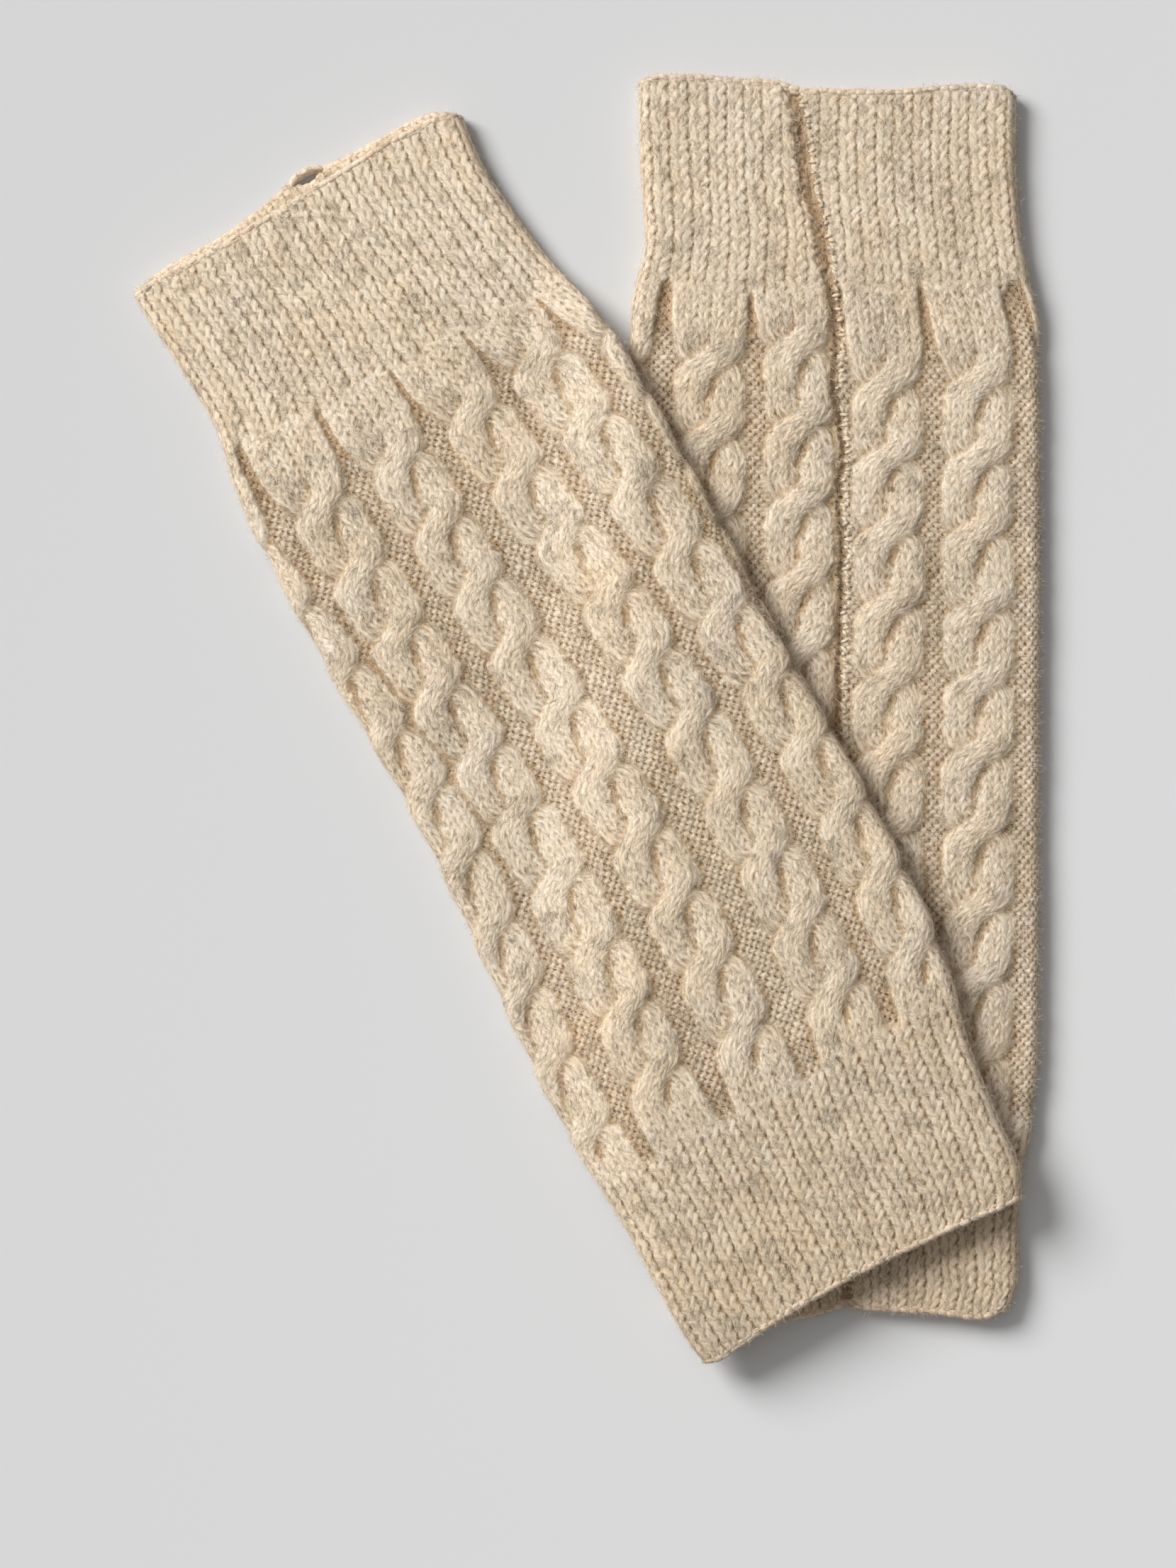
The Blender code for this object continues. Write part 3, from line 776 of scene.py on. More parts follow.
    # Painted shade: the gaps between stitches darken towards the deep shade colour, and each hollow is
    # tinted darker and warmer
    colour = mixed(gap_shade * ranged(hollow_shade, 0.0, 0.4, 0.88, 1.0), colour, given["Deep shade"])
    colour = mixed(ranged(hollow_shade, 0.08, 0.64), colour, colour * given["Hollow shade tint"])
    colour = mixed(stray * 0.35, colour, given["Pale fibre"])

    # The stitches' own roundness, with the fibres on it
    round_leg = from_middle * from_middle * -0.16 * whole
    round_grain = calc("MINIMUM", from_grain * from_grain, 1.2) * -0.22
    height = blend(purl, round_leg - knit_line * 0.14, round_grain) + fibres * 0.24 + stray * 0.05
    feed(nodes.new("NodeGroupOutput"), colour, height)
    return group


def new_material(name, looks):
    """A material whose shader has these values. Gives it, its nodes, its links and its shader."""
    material = bpy.data.materials.new(name)
    material.use_nodes = True
    shader = material.node_tree.nodes["Principled BSDF"]
    for socket, value in looks.items():
        shader.inputs[socket].default_value = value
    return material, material.node_tree.nodes, material.node_tree.links, shader


def wool(name, tints):
    """Thick, soft, matt wool; tints are the yarn group's colours that differ from its own."""
    material, nodes, links, shader = new_material(name, {
        "Roughness": 0.95, "Specular IOR Level": 0.15, "Sheen Weight": 0.25, "Sheen Roughness": 0.6,
        "Sheen Tint": (1.0, 0.95, 0.88, 1)})
    yarn = nodes.new("ShaderNodeGroup")
    yarn.node_tree = bpy.data.node_groups.get("melange yarn") or melange_group()
    for socket, mark in (("Stitch", "stitch"), ("Hollow shade", "hollow_shade"), ("Loose", "loose")):
        node = nodes.new("ShaderNodeAttribute")
        node.attribute_name = mark
        links.new(node.outputs["Vector" if mark == "stitch" else "Fac"], yarn.inputs[socket])
    for socket, colour in tints.items():
        yarn.inputs[socket].default_value = (*colour, 1)
    bump = nodes.new("ShaderNodeBump")
    bump.inputs["Strength"].default_value = 0.55
    bump.inputs["Distance"].default_value = MM
    links.new(yarn.outputs["Height"], bump.inputs["Height"])
    links.new(yarn.outputs["Colour"], shader.inputs["Base Color"])
    links.new(bump.outputs["Normal"], shader.inputs["Normal"])
    return material


CUFF_WOOL = wool("cuff wool", {"Pale fibre": (1.0, 0.870, 0.700), "Warm fibre": (0.99, 0.790, 0.550)})


def knitted(piece, node):
    """Put a finished length of cloth in the frame."""
    in_frame(piece)
    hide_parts(node)
    return piece


def cuff(warmer, end_name, material):
    """A ribbed cuff, from its bound-off mouth to the leg."""
    first, last = (0.0, warmer["cuff_ends"][0]) if end_name == "top" else (
        warmer["cuff_ends"][1], length_of(warmer))
    name = f"{warmer['name']}_{end_name}_cuff"
    piece = knit_tube(name + "_knit", warmer, first, last, RIB_ROW_STEP, rib, material, (end_name,))
    return knitted(piece, name)


lower_top_cuff = cuff(LOWER, "top", CUFF_WOOL)

# ----------------------------------------
# The lower leg warmer's cabled leg.
# Rope cables of six knit stitches, crossed every eighth row, with two or three purl stitches
# between them; near the cuffs each cable runs out into a flat panel of its six stitches.

LEG_ROW_STEP = LEG_ROW / 5
STRAND_HALF = 1.66  # half a strand's width, in stitches
PURL_STITCH = 2.9
GUTTER_FLOOR = -0.85
GUTTER_REACH = 15.0  # from the outermost cables' middles to the gutters beyond them
ROPE_SPACE = 16.0  # no part of a cable lies farther than this from its middle
STEEP = 0.17  # makes the strands change sides more quickly than a plain wave
STRAND_EDGE = -0.55  # height of a strand's edge, and how far its middle stands above it
STRAND_ROUND = 1.15
STRAND_OVER = 0.55  # how far a strand climbs over the other one, or dives under it
EYE_DEPTH = 0.70  # of the dark eye between two crossings
TAIL_DEPTH = 0.35  # how much lower the tail of a strand lies as it dives
PANEL_LOW = 0.20  # height of a flat panel at the cuff, and what it gains further on
PANEL_GAIN = 0.35
RIB_RUNS_ON = 10.0  # how far the cuffs' rib fades out over the leg


def purl_bulge(column_at, row_at):
    """The back of the knit: the heads and feet of its loops lie as small grains in brick bond."""
    course = np.floor(row_at * 2)
    brick = column_at + 0.5 * (course % 2)
    right = brick - np.floor(brick) - 0.5
    down = row_at * 2 - course - 0.5 + 0.22 * right
    return np.sqrt(np.clip(1 - (1.45 * right) ** 2 - (1.75 * down) ** 2, 0, 1))


def cables(warmer, along, around):
    """The leg's pattern: ropes and purl ground, easing into rib at both ends."""
    shape = np.broadcast(along, around).shape
    seed = 500 + (100 if warmer["seam_on"] == "top" else 0)
    left, right, _, whole = outline(warmer, along)
    arc = around * whole
    spread = np.broadcast_to(along, shape)
    cuff_end, cuff_start = warmer["cuff_ends"]
    uneven = spread + 0.6 * drift(arc / 22.0, spread / 18.0, seed)
    row_at = cuff_end / RIB_ROW + (uneven - cuff_end) / LEG_ROW
    middles = [FOLD - FOLD_RADIUS + (right - left) * read(warmer["cables"], along, number)
               for number in range(1, len(warmer["cables"][0]))]

    # The purl ground, counted from the nearest gutter's middle
    gutters = [middles[0] - GUTTER_REACH, middles[-1] + GUTTER_REACH]
    gutters[1:1] = [(a + b) / 2 for a, b in zip(middles[:-1], middles[1:])]
    from_gutter = np.full(shape, 1e9)
    wale_there = np.zeros(shape)
    for middle in gutters:
        offset = arc - middle
        closer = np.abs(offset) < np.abs(from_gutter)
        from_gutter = np.where(closer, offset, from_gutter)
        wale_there = np.where(closer, np.round((middle / whole * WALES).mean()), wale_there)
    column_at = from_gutter / PURL_STITCH + 0.5 + wale_there
    column_at = column_at + 0.16 * drift(arc / 3.4, spread / 3.8, seed + 7)
    purl_row = row_at + 0.16 * drift(arc / 4.1, spread / 3.1, seed + 8)
    stitch = np.stack([column_at, purl_row, np.full(shape, PURL)], -1)
    detail = 0.42 + 0.14 * drift(arc / 3.0, spread / 2.4, seed + 9)
    detail = detail * purl_bulge(column_at, purl_row) - 0.22
    slant = np.full(shape, 2.5)
    from_end = np.minimum(spread - cuff_end, cuff_start - spread)
    by_top = (spread < (cuff_end + cuff_start) / 2).astype(float)
    body = (GUTTER_FLOOR - (0.15 + 0.75 * by_top) * (1 - ease((from_end - 8.0) / 18.0))
            - by_top * np.exp(-((from_end - 3.0) / 5.0) ** 2) * np.exp(-(from_gutter / 2.0) ** 2))

    # The ropes
    for number, middle in enumerate(middles):
        first, crossing, count = warmer["crossings"][number]
        offset = arc - middle + 0.7 * drift(number * 3.3, spread / 21.0, seed + 40)
        near = np.abs(offset) < ROPE_SPACE
        if not near.any():
            continue
        rows_near = np.where(near.any(1))[0]
        columns_near = np.where(near.any(0))[0]
        window = np.s_[rows_near[0]:rows_near[-1] + 1, columns_near[0]:columns_near[-1] + 1]
        offset = offset[window]
        down = uneven[window] + 1.2 * drift(number * 5.7, spread[window] / 27.0, seed + 41)
        wale = np.round((middle / whole * WALES).mean())
        turns = (down - first) / crossing
        held = np.clip(turns, -0.5, count - 0.5)
        crossed = ease((turns + 0.62) / 0.40) * (1 - ease((turns - count + 0.70) / 0.34))
        panel_stitch = np.where(turns < count / 2, *warmer["panel_stitches"])
        stitch_wide = panel_stitch + (ROPE_STITCH - panel_stitch) * crossed
        sway = (np.sin(math.pi * held) + STEEP * np.sin(3 * math.pi * held)) / (1 - STEEP)
        slope = (np.cos(math.pi * held) + 3 * STEEP * np.cos(3 * math.pi * held)) / (1 - STEEP)
        slope = np.where((turns > -0.5) & (turns < count - 0.5), slope * math.pi / crossing, 0.0)
        panel_height = PANEL_LOW + PANEL_GAIN * ease(from_end[window] / 26.0)
        panel = panel_height * np.clip(1 - np.abs(offset / (2.95 * stitch_wide)) ** 6, 0, 1) ** 0.6
        # Half way between two crossings a dark eye opens between the strands; the left one of
        # them is the tail that dives under
        from_eye = (held - np.floor(held) - 0.5) * crossing + 3.0
        eye = np.exp(-((offset - 0.4 + 0.50 * from_eye) / 1.7) ** 2 - (from_eye / 5.5) ** 2) * crossed
        tail = TAIL_DEPTH * ease((-offset - 1.0) / 6.0) * crossed
        ragged = 0.40 * drift(offset / 1.9 + 30 * number, down / 1.5, seed + 43)
        crest = 1 + 0.16 * drift(number * 7.1, down / 19.0, seed + 42)
        for which in (1, -1):
            to_side = (1.5 - 0.15 * crossed) * stitch_wide
            middle_line = -which * to_side * sway
            tilt = -which * to_side * slope
            from_line = offset - middle_line + ragged
            over = which * np.cos(math.pi * held)
            over = over * (1.5 - 0.5 * over ** 2)
            lean = np.sqrt(1 + 0.55 * tilt ** 2)
            half = STRAND_HALF * stitch_wide * lean
            dome = np.clip(1 - (from_line / half) ** 2, 0, 1) ** 0.74
            rope = (STRAND_EDGE + (STRAND_OVER * over * dome ** 0.4 + STRAND_ROUND * dome) * crest
                    - EYE_DEPTH * eye - tail * dome)
            height = panel + (rope - panel) * crossed
            higher = (np.abs(from_line) < half) & (np.abs(offset) < (2.92 + 0.13 * crossed) * stitch_wide)
            higher &= height > body[window]
            column_at = from_line / (stitch_wide * lean) + 1.5 * which + wale
            row_there = row_at[window] + 0.6 * tilt * from_line / LEG_ROW
            aside = 2 * np.abs(column_at - np.floor(column_at) - 0.5)
            legs = knit_bulge(column_at, row_there, ROPE_REACH, seed + 60 + number)
            legs = (0.14 + 0.36 / lean ** 2) * legs
            legs += 0.22 * (1 - crossed) * (np.sqrt(np.clip(1 - 0.97 * aside ** 2, 0, 1)) - 0.6) - 0.20
            body[window] = np.where(higher, height, body[window])
            detail[window] = np.where(higher, legs, detail[window])
            slant[window] = np.where(higher, tilt, slant[window])
            for axis, value in enumerate((column_at, row_there, ROPE)):
                stitch[window][..., axis] = np.where(higher, value, stitch[window][..., axis])
    relief = soften(body, 4) + soften(detail, 1)

    # The rib of the cuffs runs out over the first rows
    runs_out = from_end + 2.6 * drift(arc / 8.0, spread / 60.0, seed + 80) * ease(from_end / 4.0)
    ribbed = 1 - ease(runs_out / RIB_RUNS_ON)
    rows = (from_end < RIB_RUNS_ON + 3.0)[:, 0]
    if rows.any():
        rib_relief, rib_stitch, _ = rib_face(warmer, along[rows], around)
        share = ribbed[rows]
        relief[rows] = relief[rows] * (1 - share) + rib_relief * share
        take = share > 0.6 + 0.35 * drift(arc[rows] / 2.1, spread[rows] / 2.3, seed + 81)
        stitch[rows] = np.where(take[..., None], rib_stitch, stitch[rows])
        slant[rows] = np.where(take, 0.0, slant[rows])
    return seam_groove(warmer, along, around, relief, stitch, slant)


LEG_WOOL = wool("leg wool", {})
LEG_CUT = 0.283  # all round, laid open


def cabled_leg(warmer, flat_length):
    """The leg in two lengths, knitted on without a break."""
    cuff_end, cuff_start = warmer["cuff_ends"]
    halfway = cuff_end + round((cuff_start - cuff_end) / 2 / LEG_ROW) * LEG_ROW
    name = f"{warmer['name']}_leg"
    pieces = []
    for part, start, end in (("_above", cuff_end, halfway), ("_below", halfway, cuff_start)):
        piece = knit_tube(name + part, warmer, start, end, LEG_ROW_STEP, cables, LEG_WOOL)
        flat = (LEG_CUT, flat_length * (end - start) / (cuff_start - cuff_end))
        pieces.append(knitted(piece, name))
    return pieces


lower_leg = cabled_leg(LOWER, 0.285)

# ----------------------------------------
# The lower leg warmer's ribbed bottom cuff.
# The same rib as the top cuff, drawn in a little, bound off at the ankle.

# The ankle cuffs' wool is painted darker and warmer than the rest: painted shade, as less light reaches
# them
ANKLE_WOOL_SHADED = wool("ankle cuff wool, painted shade", {"Pale fibre": (0.92, 0.785, 0.610),
                                      "Warm fibre": (0.90, 0.700, 0.470)})
lower_bottom_cuff = cuff(LOWER, "bottom", ANKLE_WOOL_SHADED)

# ----------------------------------------
# The upper leg warmer's ribbed top cuff.
# The pair's other half. It lies across the lower one, seam down: its left side rests on the
# floor, the rest climbs on to the lower one.

CABLE_RISE = 2.4
REST_GAP = 0.3

UPPER = {
    "name": "upper",
    "climbs_on": LOWER,
    # full height on the lower one; how far inside its outline that starts; how long the slope
    # down to the floor is beside the lower one, and past its end
    "climb": (THICKNESS + CABLE_RISE + REST_GAP, 4.0, 40.0, 52.0),
    "top": (-95.1, 168.7),
    "bottom": (91.3, -185.4),
    "cuff_ends": (57.0, 336.0),
    "edges": ((0, -62.4, 62.2), (12, -61.6, 60.8), (25, -60.1, 61.3), (50, -58.8, 64.9),
              (75, -62.2, 70.3), (100, -63.1, 72.8), (150, -62.2, 74.1), (200, -60.5, 74.4),
              (250, -62.4, 75.8), (300, -64.3, 75.3), (325, -63.7, 72.1), (350, -62.0, 66.8),
              (375, -61.6, 64.2), (390, -61.2, 63.0), (400, -59.6, 58.6)),
    "cables": ((57, -0.075, 0.148, 0.369, 0.585, 0.794, 1.000),
               (95, -0.050, 0.172, 0.392, 0.612, 0.825, 1.045),
               (185, 0.044, 0.212, 0.436, 0.692, 0.906, 1.090),
               (257, 0.036, 0.252, 0.476, 0.716, 0.932, 1.110),
               (336, 0.036, 0.252, 0.476, 0.716, 0.932, 1.110)),
    "panel_stitches": (4.50, 4.0),
    "crossings": ((92.0, 24.8, 10), (91.5, 24.2, 10), (89.0, 24.5, 10), (86.5, 25.0, 10),
                  (82.0, 25.4, 10), (86.0, 24.8, 10)),
    "seam": ((0, 0.560), (60, 0.520), (400, 0.500)),
    "seam_on": "under",
    "crisp": (0.10, 0.16),
    "top_edge": ((0.00, 0.6, 0.6), (0.03, 1.2, 2.9), (0.10, 1.6, 4.3), (0.28, 2.2, 4.9),
                 (0.38, 2.7, 6.7), (0.46, 3.4, 9.0), (0.51, 4.0, 10.6), (0.535, 4.3, 7.6),
                 (0.575, 4.6, 7.4), (0.60, 4.7, 9.8), (0.66, 5.1, 9.4), (0.77, 6.4, 9.6), (0.90, 6.5, 9.4),
                 (0.96, 5.9, 7.4), (1.00, 2.6, 2.6)),
    "bottom_edge": ((0.00, 0.4, 0.4), (0.05, 1.6, 1.4), (0.20, -0.8, -1.2), (0.45, -2.4, -2.6),
                    (0.75, -1.4, -1.6), (0.92, 0.2, 0.0), (1.00, 0.6, 0.4)),
}


upper_top_cuff = cuff(UPPER, "top", CUFF_WOOL)

# ----------------------------------------
# The upper leg warmer's cabled leg.
# The same cables; four show on its face and a fifth rolls over the left fold.

upper_leg = cabled_leg(UPPER, 0.279)

# ----------------------------------------
# The upper leg warmer's ribbed bottom cuff.
# The same as the lower one's, which it rests on.

upper_bottom_cuff = cuff(UPPER, "bottom", ANKLE_WOOL_SHADED)

# ----------------------------------------
# The bound-off edges.
# A chain of yarn loops closes each of the four mouths; it is the last row, drawn over itself.

CHAIN_LINK = 3.1  # from one link to the next
CHAIN_YARN = 1.30  # radius of the yarn in the chain
CHAIN_SUNK = 0.85  # how deep its middle lies in the cloth
OFF_FLOOR = 0.02  # the least height of any point of the chain, and of the nap


def yarn_ends(paths, radius, sides):
    """Short lengths of yarn, tapered at both ends. paths holds the points of each, in millimetres.
    Gives the points, the faces and the marks of one joined mesh."""
    count, stations = paths.shape[:2]
    forward = unit(np.gradient(paths, axis=1))
    side = unit(np.cross(forward, np.broadcast_to([0.05, 0.03, 1.0], forward.shape)))
    up = np.cross(side, forward)
    turn = np.arange(sides) * 2 * math.pi / sides
    share = np.linspace(-1.0, 1.0, stations)
    taper = np.sqrt(1 - 0.90 * share ** 2)[None, :, None, None] * radius
    ring = side[:, :, None] * np.cos(turn)[:, None] + up[:, :, None] * np.sin(turn)[:, None]
    rings = paths[:, :, None] + ring * taper
    points = rings.reshape(count, -1, 3)
    faces = []
    for station in range(0, (stations - 1) * sides, sides):
        for one in range(sides):
            near, far = station + one, station + (one + 1) % sides
            faces += [(near, far, far + sides), (near, far + sides, near + sides)]
    last = (stations - 1) * sides
    for one in range(1, sides - 1):
        faces += [(0, one + 1, one), (last, last + one, last + one + 1)]
    faces = (np.arange(count)[:, None, None] * points.shape[1] + np.array(faces)[None]).reshape(-1, 3)
    aside = np.broadcast_to((turn / math.pi)[None, None, :], (count, stations, sides))
    down = np.arange(count)[:, None, None] * 7.0 + share[None, :, None] * 0.5 + 0.3 * aside
    stitch = np.stack([aside * 0.9 + 0.1, down, np.full(aside.shape, ROPE)], -1)
    marks = {"stitch": stitch.reshape(-1, 3), "hollow_shade": np.full(points.shape[0] * points.shape[1], 0.10),
             "loose": np.ones(points.shape[0] * points.shape[1]),
             "lie": np.repeat(forward[:, :, None], sides, 2).reshape(-1, 3)}
    return points.reshape(-1, 3), faces, marks


def bound_edge(name, warmer, end_name, material):
    """The chain round one mouth."""
    way = 1 if end_name == "bottom" else -1
    turn_along = WALL / 2 if end_name == "top" else length_of(warmer) - WALL / 2
    links = int(round(outline(warmer, turn_along)[3] / CHAIN_LINK))
    link = np.arange(links)[:, None, None]
    side = np.array([-1, 1])[None, :, None]
    run = np.linspace(-0.88, 0.88, 4)[None, None, :]
    paths = []
    # On the face the two legs of a link part like a V; round the rim below they stay together
    for half, first_around, last_around, middle, parted in ((0, 0.0, 1.0, 1.75, 0.95),
                                                            (1, 1.02, 1.98, 0.35, 0.30)):
        jitter = 0.35 * (chance(link, side + 2, 21 + half) - 0.5)
        around = first_around + (last_around - first_around) * (link + 0.5 + run + jitter) / links
        around = np.clip(around, first_around, last_around)
        from_edge = middle + side * parted * (0.65 + 0.40 * run)
        from_edge = from_edge + 0.5 * (chance(link, side, 25 + half) - 0.5)
        angle = np.maximum(math.pi / 2 - from_edge / (WALL / 2), 0.0)
        inward = np.maximum(from_edge - math.pi / 2 * (WALL / 2), 0.0)
        sunk = CHAIN_SUNK + 0.22 * side + 0.35 * (chance(link, side, 29 + half) - 0.5)
        paths.append(laid(warmer, turn_along - way * inward, around, -sunk * np.cos(angle),
                          layer=(1 - np.cos(angle)) / 2, past=way * (WALL / 2 - sunk) * np.sin(angle)))
    paths = np.concatenate(paths).reshape(-1, 4, 3)
    points, faces, marks = yarn_ends(paths, CHAIN_YARN, 6)
    points[:, 2] = np.maximum(points[:, 2], OFF_FLOOR)
    return in_frame(make_mesh(name, points, faces, marks, material))


EDGE_WOOL = wool("edge wool", {"Warm fibre": (0.89, 0.66, 0.46), "Pale fibre": (0.94, 0.80, 0.63)})
edges = [bound_edge(f"{warmer['name']}_{end_name}_edge", warmer, end_name, EDGE_WOOL)
         for warmer in (LOWER, UPPER) for end_name in ("top", "bottom")]

# The last stitch of the upper one's seam, fastened off at the mouth, where it stands out as a loop
SEAM_END_SHARE = 0.555  # its place as a share of the mouth's width
SEAM_END_HALF = 5.4  # half its width
SEAM_END_PAST = 8.7  # how far its two feet lie past the tube's straight end
SEAM_END_RISE = 2.0  # how far it bows out from them
SEAM_END_YARN = 1.5  # radius


def seam_end(name, warmer, material):
    """The open loop at the end of a seam."""
    left, right, _, _ = outline(warmer, 0.0)
    turn = np.linspace(-0.12, 1.12, 18)[None, :] * math.pi
    across = left + (right - left) * SEAM_END_SHARE + SEAM_END_HALF * np.cos(turn)
    x, y = place(warmer, across, -SEAM_END_PAST - SEAM_END_RISE * np.sin(turn))
    paths = np.stack([x, y, 1.9 + 0.6 * np.sin(turn)], -1)
    return in_frame(make_mesh(name, *yarn_ends(paths, SEAM_END_YARN, 12), material))


upper_seam_end = seam_end("upper_seam_end", UPPER, EDGE_WOOL)

# ----------------------------------------
# The two back seams.
# The selvedges are overcast with the same wool, in short bars of yarn all down the back. The
# lower one's seam shows; the upper one's is underneath, let into the cloth.

SEAM_BAR = 2.3  # from one bar to the next
SEAM_YARN = 0.64  # radius


def back_seam(name, node, warmer, material):
    """The overcasting of one back seam."""
    bars = int(length_of(warmer) / SEAM_BAR) - 2
    bar = np.arange(bars)[:, None]
    jitter = [chance(bar, number, 31) - 0.5 for number in range(4)]
    along = 1.8 * SEAM_BAR + bar * SEAM_BAR + 2.2 * jitter[0]
    run = np.linspace(0.0, 1.0, 5)[None, :]
    beside = (1.2 * jitter[1] + 0.5) * (1 - run) + (2.5 + 2.0 * jitter[2]) * run
    _, _, face, whole = outline(warmer, along)
    if warmer["seam_on"] == "top":
        around = 0.5 + (beside - seam_line(warmer, along, 0.5)) / whole
        height = np.array([-1.5, -1.00, -0.70, -0.60, -1.00]) + 0.7 * in_top_cuff(warmer, along)
    else:
        around = 1.5 - (beside - 0.9 - under_seam_line(warmer, along, 1.5)) / face
        height = np.array([-1.3, -0.85, -0.7, -0.85, -1.3])
    down = along + (run - 0.5) * (0.8 + 4.0 * jitter[3])
    paths = laid(warmer, down, around, height)
    seam = in_frame(make_mesh(name, *yarn_ends(paths, SEAM_YARN, 6), material))
    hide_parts(node)
    return seam


SEAM_WOOL = wool("seam wool", {"Pale fibre": (0.93, 0.80, 0.62), "Warm fibre": (0.86, 0.67, 0.45)})
lower_seam = back_seam("lower_back_seam_yarn", "lower_back_seam", LOWER, SEAM_WOOL)
back_seam("upper_back_seam_yarn", "upper_back_seam", UPPER, SEAM_WOOL)

# ----------------------------------------
# The nap.
# Loose ends of fibre that stand out of the yarn all over and make a faint halo at the outline.

NAP_HAIRS = 72000  # on each leg warmer
HAIR_LENGTHS = (1.2, 4.8)
HAIR_WIDTH = 0.12


def nap(name, cloths, seed, material):
    """Short bent hairs rooted in the cloth, joined as one mesh. Each is a thin spindle of two
    triangles that is widest at its knee; most lie along the yarn."""
    random = np.random.default_rng(seed)
    roots = []
    for cloth in cloths:
        mesh = cloth.data
        count = len(mesh.vertices)
        found = np.empty((3, count, 3), np.float32)
        for part, (holder, field) in enumerate(((mesh.vertices, "co"), (mesh.vertex_normals, "vector"),
                                                (mesh.attributes["lie"].data, "vector"))):
            values = np.empty(count * 3, np.float32)
            holder.foreach_get(field, values)
            found[part] = values.reshape(-1, 3)
        roots.append(found)
    start, outward, lie = np.concatenate(roots, 1).astype(float)
    start = start / MM
    # The hairs show best on the slopes, so more of them are rooted there
    chosen = 0.35 + 1.6 * (1 - np.clip(outward[:, 2], 0, 1)) > random.random(len(outward))
    shown = chosen & (outward[:, 2] > -0.25) & (start[:, 2] > 1.2)
    shown &= (covered(LOWER, start[:, 0], start[:, 1]) < 0.9) | ("upper" in name)
    chosen = np.flatnonzero(shown)[random.integers(0, shown.sum(), NAP_HAIRS)]
    start, outward, lie = start[chosen], outward[chosen], lie[chosen]

    def among(low, high, power=1.0):
        """One random number for each hair."""
        return low + (high - low) * random.random((NAP_HAIRS, 1)) ** power

    flow = lie * np.sign(random.random((NAP_HAIRS, 1)) - 0.5) * 0.9
    flow = flow + 0.55 * random.normal(size=start.shape)
    flow = unit(flow - outward * (flow * outward).sum(1, keepdims=True))
    aside = unit(np.cross(outward, flow))
    long = among(*HAIR_LENGTHS, 1.8)
    wide = HAIR_WIDTH * among(0.5, 1.0) / 2
    curl = random.normal(size=(NAP_HAIRS, 1)) * 0.55
    root = start + outward * 0.05 + aside * among(-0.3, 0.3) + flow * among(-0.3, 0.3)
    knee = root + unit(flow + outward * among(0.06, 0.75, 2.5)) * long * 0.5
    tip = knee + unit(flow + aside * curl - outward * among(-0.45, 0.22)) * long * 0.5
    points = np.stack([root, knee - aside * wide, knee + aside * wide, tip], 1)
    points[..., 2] = np.maximum(points[..., 2], OFF_FLOOR)
    corner = np.array([(0, 2, 1), (1, 2, 3)])
    faces = (np.arange(NAP_HAIRS)[:, None, None] * 4 + corner[None]).reshape(-1, 3)
    shade = np.repeat(random.random(NAP_HAIRS), 4)
    in_frame(make_mesh(name, points.reshape(-1, 3), faces, {"shade": shade}, material))


HAIR_WOOL, hair_nodes, hair_links, hair_shader = new_material("nap wool", {
    "Roughness": 0.8, "Specular IOR Level": 0.25})
shade = hair_nodes.new("ShaderNodeAttribute")
shade.attribute_name = "shade"
# A few hairs are grey, the rest warm or pale
ramp = hair_nodes.new("ShaderNodeValToRGB")
ramp.color_ramp.elements[0].position = 0.0
ramp.color_ramp.elements[0].color = (0.24, 0.19, 0.14, 1)
ramp.color_ramp.elements[1].position = 0.30
ramp.color_ramp.elements[1].color = (0.70, 0.57, 0.42, 1)
ramp.color_ramp.elements.new(0.6).color = (0.86, 0.73, 0.56, 1)
hair_links.new(shade.outputs["Fac"], ramp.inputs["Fac"])
hair_links.new(ramp.outputs["Color"], hair_shader.inputs["Base Color"])

lower_cloths = [lower_top_cuff, *lower_leg, lower_bottom_cuff, *edges[:2], lower_seam]
upper_cloths = [upper_top_cuff, *upper_leg, upper_bottom_cuff, *edges[2:], upper_seam_end]
nap("lower_nap", lower_cloths, 11, HAIR_WOOL)
nap("upper_nap", upper_cloths, 12, HAIR_WOOL)

# ----------------------------------------
# The floor, the light and the camera.
# A plain pale floor, a broad window light from the upper left that weakens across the pair, a
# little light from above and all round, and the camera straight above.

LIGHT_TURN = 55  # the light comes from this far round from straight behind
WINDOW_SHARE = 0.71  # of all the light on the floor
WINDOW_DISTANCE = 3.6
WINDOW_HEIGHT = 38  # degrees above the floor
WINDOW_WIDTH = 30  # degrees
CEILING_SHARE = 0.11
CEILING_HEIGHT = 64
CEILING_WIDTH = 60
SKY_SHARE = 0.18
FLOOR_GREY = 0.716
FLOOR_EVENING = (0.71, 1.30)  # how much darker and paler the floor is 0.6 m to and from the window
FLOOR_HALF = 6  # metres
LENS = 100  # millimetres, on a sensor 36 wide
CAMERA_PLACE = (0.0004, -0.0221, 1.452)

floor_mesh = bpy.data.meshes.new("floor")
floor_corners = [(x * FLOOR_HALF, y * FLOOR_HALF, 0) for x, y in ((-1, -1), (1, -1), (1, 1), (-1, 1))]
floor_mesh.from_pydata(floor_corners, [], [(0, 1, 2, 3)])
floor = put("floor", floor_mesh)
floor_paint, floor_nodes, floor_links, floor_shader = new_material("pale floor", {
    "Roughness": 1.0, "Specular IOR Level": 0.0})
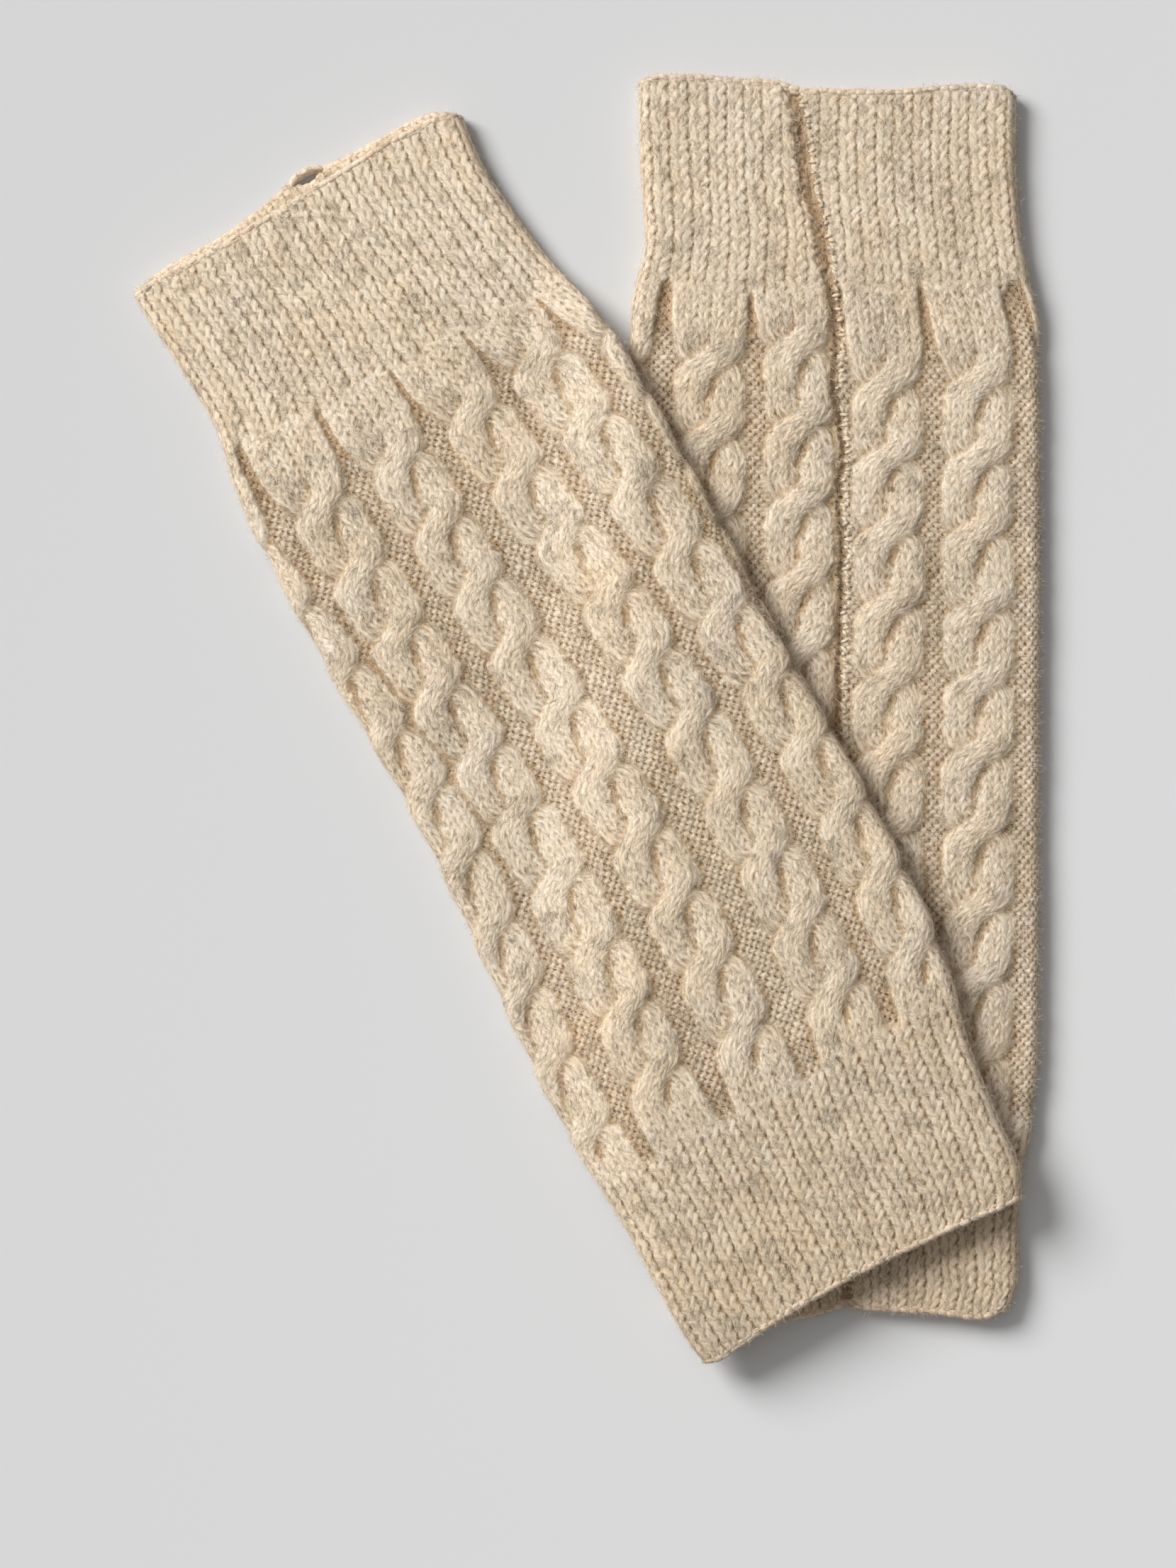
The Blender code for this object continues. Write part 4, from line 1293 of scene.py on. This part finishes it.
# The floor is painted a touch paler away from the window, so it looks even
away = floor_nodes.new("ShaderNodeVectorMath")
away.operation = "DOT_PRODUCT"
toward = (-math.sin(math.radians(LIGHT_TURN)), math.cos(math.radians(LIGHT_TURN)), 0.0)
away.inputs[1].default_value = tuple(-part for part in toward)
floor_links.new(floor_nodes.new("ShaderNodeTexCoord").outputs["Object"], away.inputs[0])
evened = floor_nodes.new("ShaderNodeMapRange")
floor_greys = [FLOOR_GREY * share for share in FLOOR_EVENING]
for socket, value in zip(list(evened.inputs)[1:5], (-0.6, 0.6, *floor_greys)):
    socket.default_value = value
floor_links.new(away.outputs["Value"], evened.inputs[0])
floor_links.new(evened.outputs[0], floor_shader.inputs["Base Color"])
floor_mesh.materials.append(floor_paint)

# The sky lights the pair evenly, and the camera sees the floor's grey past the floor
world = bpy.data.worlds.new("studio")
bpy.context.scene.world = world
world.use_nodes = True
world_nodes, world_links = world.node_tree.nodes, world.node_tree.links
sky = world_nodes["Background"]
sky.inputs["Strength"].default_value = SKY_SHARE
sky.inputs["Color"].default_value = (1.0, 1.0, 1.0, 1)
backdrop = world_nodes.new("ShaderNodeBackground")
backdrop.inputs["Color"].default_value = (FLOOR_GREY, FLOOR_GREY, FLOOR_GREY, 1)
seen = world_nodes.new("ShaderNodeMixShader")
world_links.new(world_nodes.new("ShaderNodeLightPath").outputs["Is Camera Ray"], seen.inputs[0])
world_links.new(sky.outputs[0], seen.inputs[1])
world_links.new(backdrop.outputs[0], seen.inputs[2])
world_links.new(seen.outputs[0], world_nodes["World Output"].inputs["Surface"])

window_data = bpy.data.lights.new("window light", "AREA")
window_data.shape = "DISK"
window_data.size = 2 * WINDOW_DISTANCE * math.tan(math.radians(WINDOW_WIDTH / 2))
window_data.energy = WINDOW_SHARE * (math.pi * WINDOW_DISTANCE) ** 2 / math.sin(math.radians(WINDOW_HEIGHT))
window = put("window light", window_data)
flat_way = WINDOW_DISTANCE * math.cos(math.radians(WINDOW_HEIGHT))
window.location = (flat_way * toward[0], flat_way * toward[1],
                   WINDOW_DISTANCE * math.sin(math.radians(WINDOW_HEIGHT)))
window.rotation_euler = (math.radians(90 - WINDOW_HEIGHT), 0.0, math.radians(180 + LIGHT_TURN))

ceiling_data = bpy.data.lights.new("ceiling light", "SUN")
ceiling_data.angle = math.radians(CEILING_WIDTH)
ceiling_data.energy = CEILING_SHARE * math.pi / math.sin(math.radians(CEILING_HEIGHT))
ceiling = put("ceiling light", ceiling_data)
ceiling.rotation_euler = (math.radians(90 - CEILING_HEIGHT), 0.0, math.radians(180 + LIGHT_TURN))

camera_data = bpy.data.cameras.new("camera")
camera_data.lens = LENS
camera_data.sensor_width = 36
camera = put("camera", camera_data)
camera.location = CAMERA_PLACE
bpy.context.scene.camera = camera
bpy.context.scene.view_settings.view_transform = "Standard"
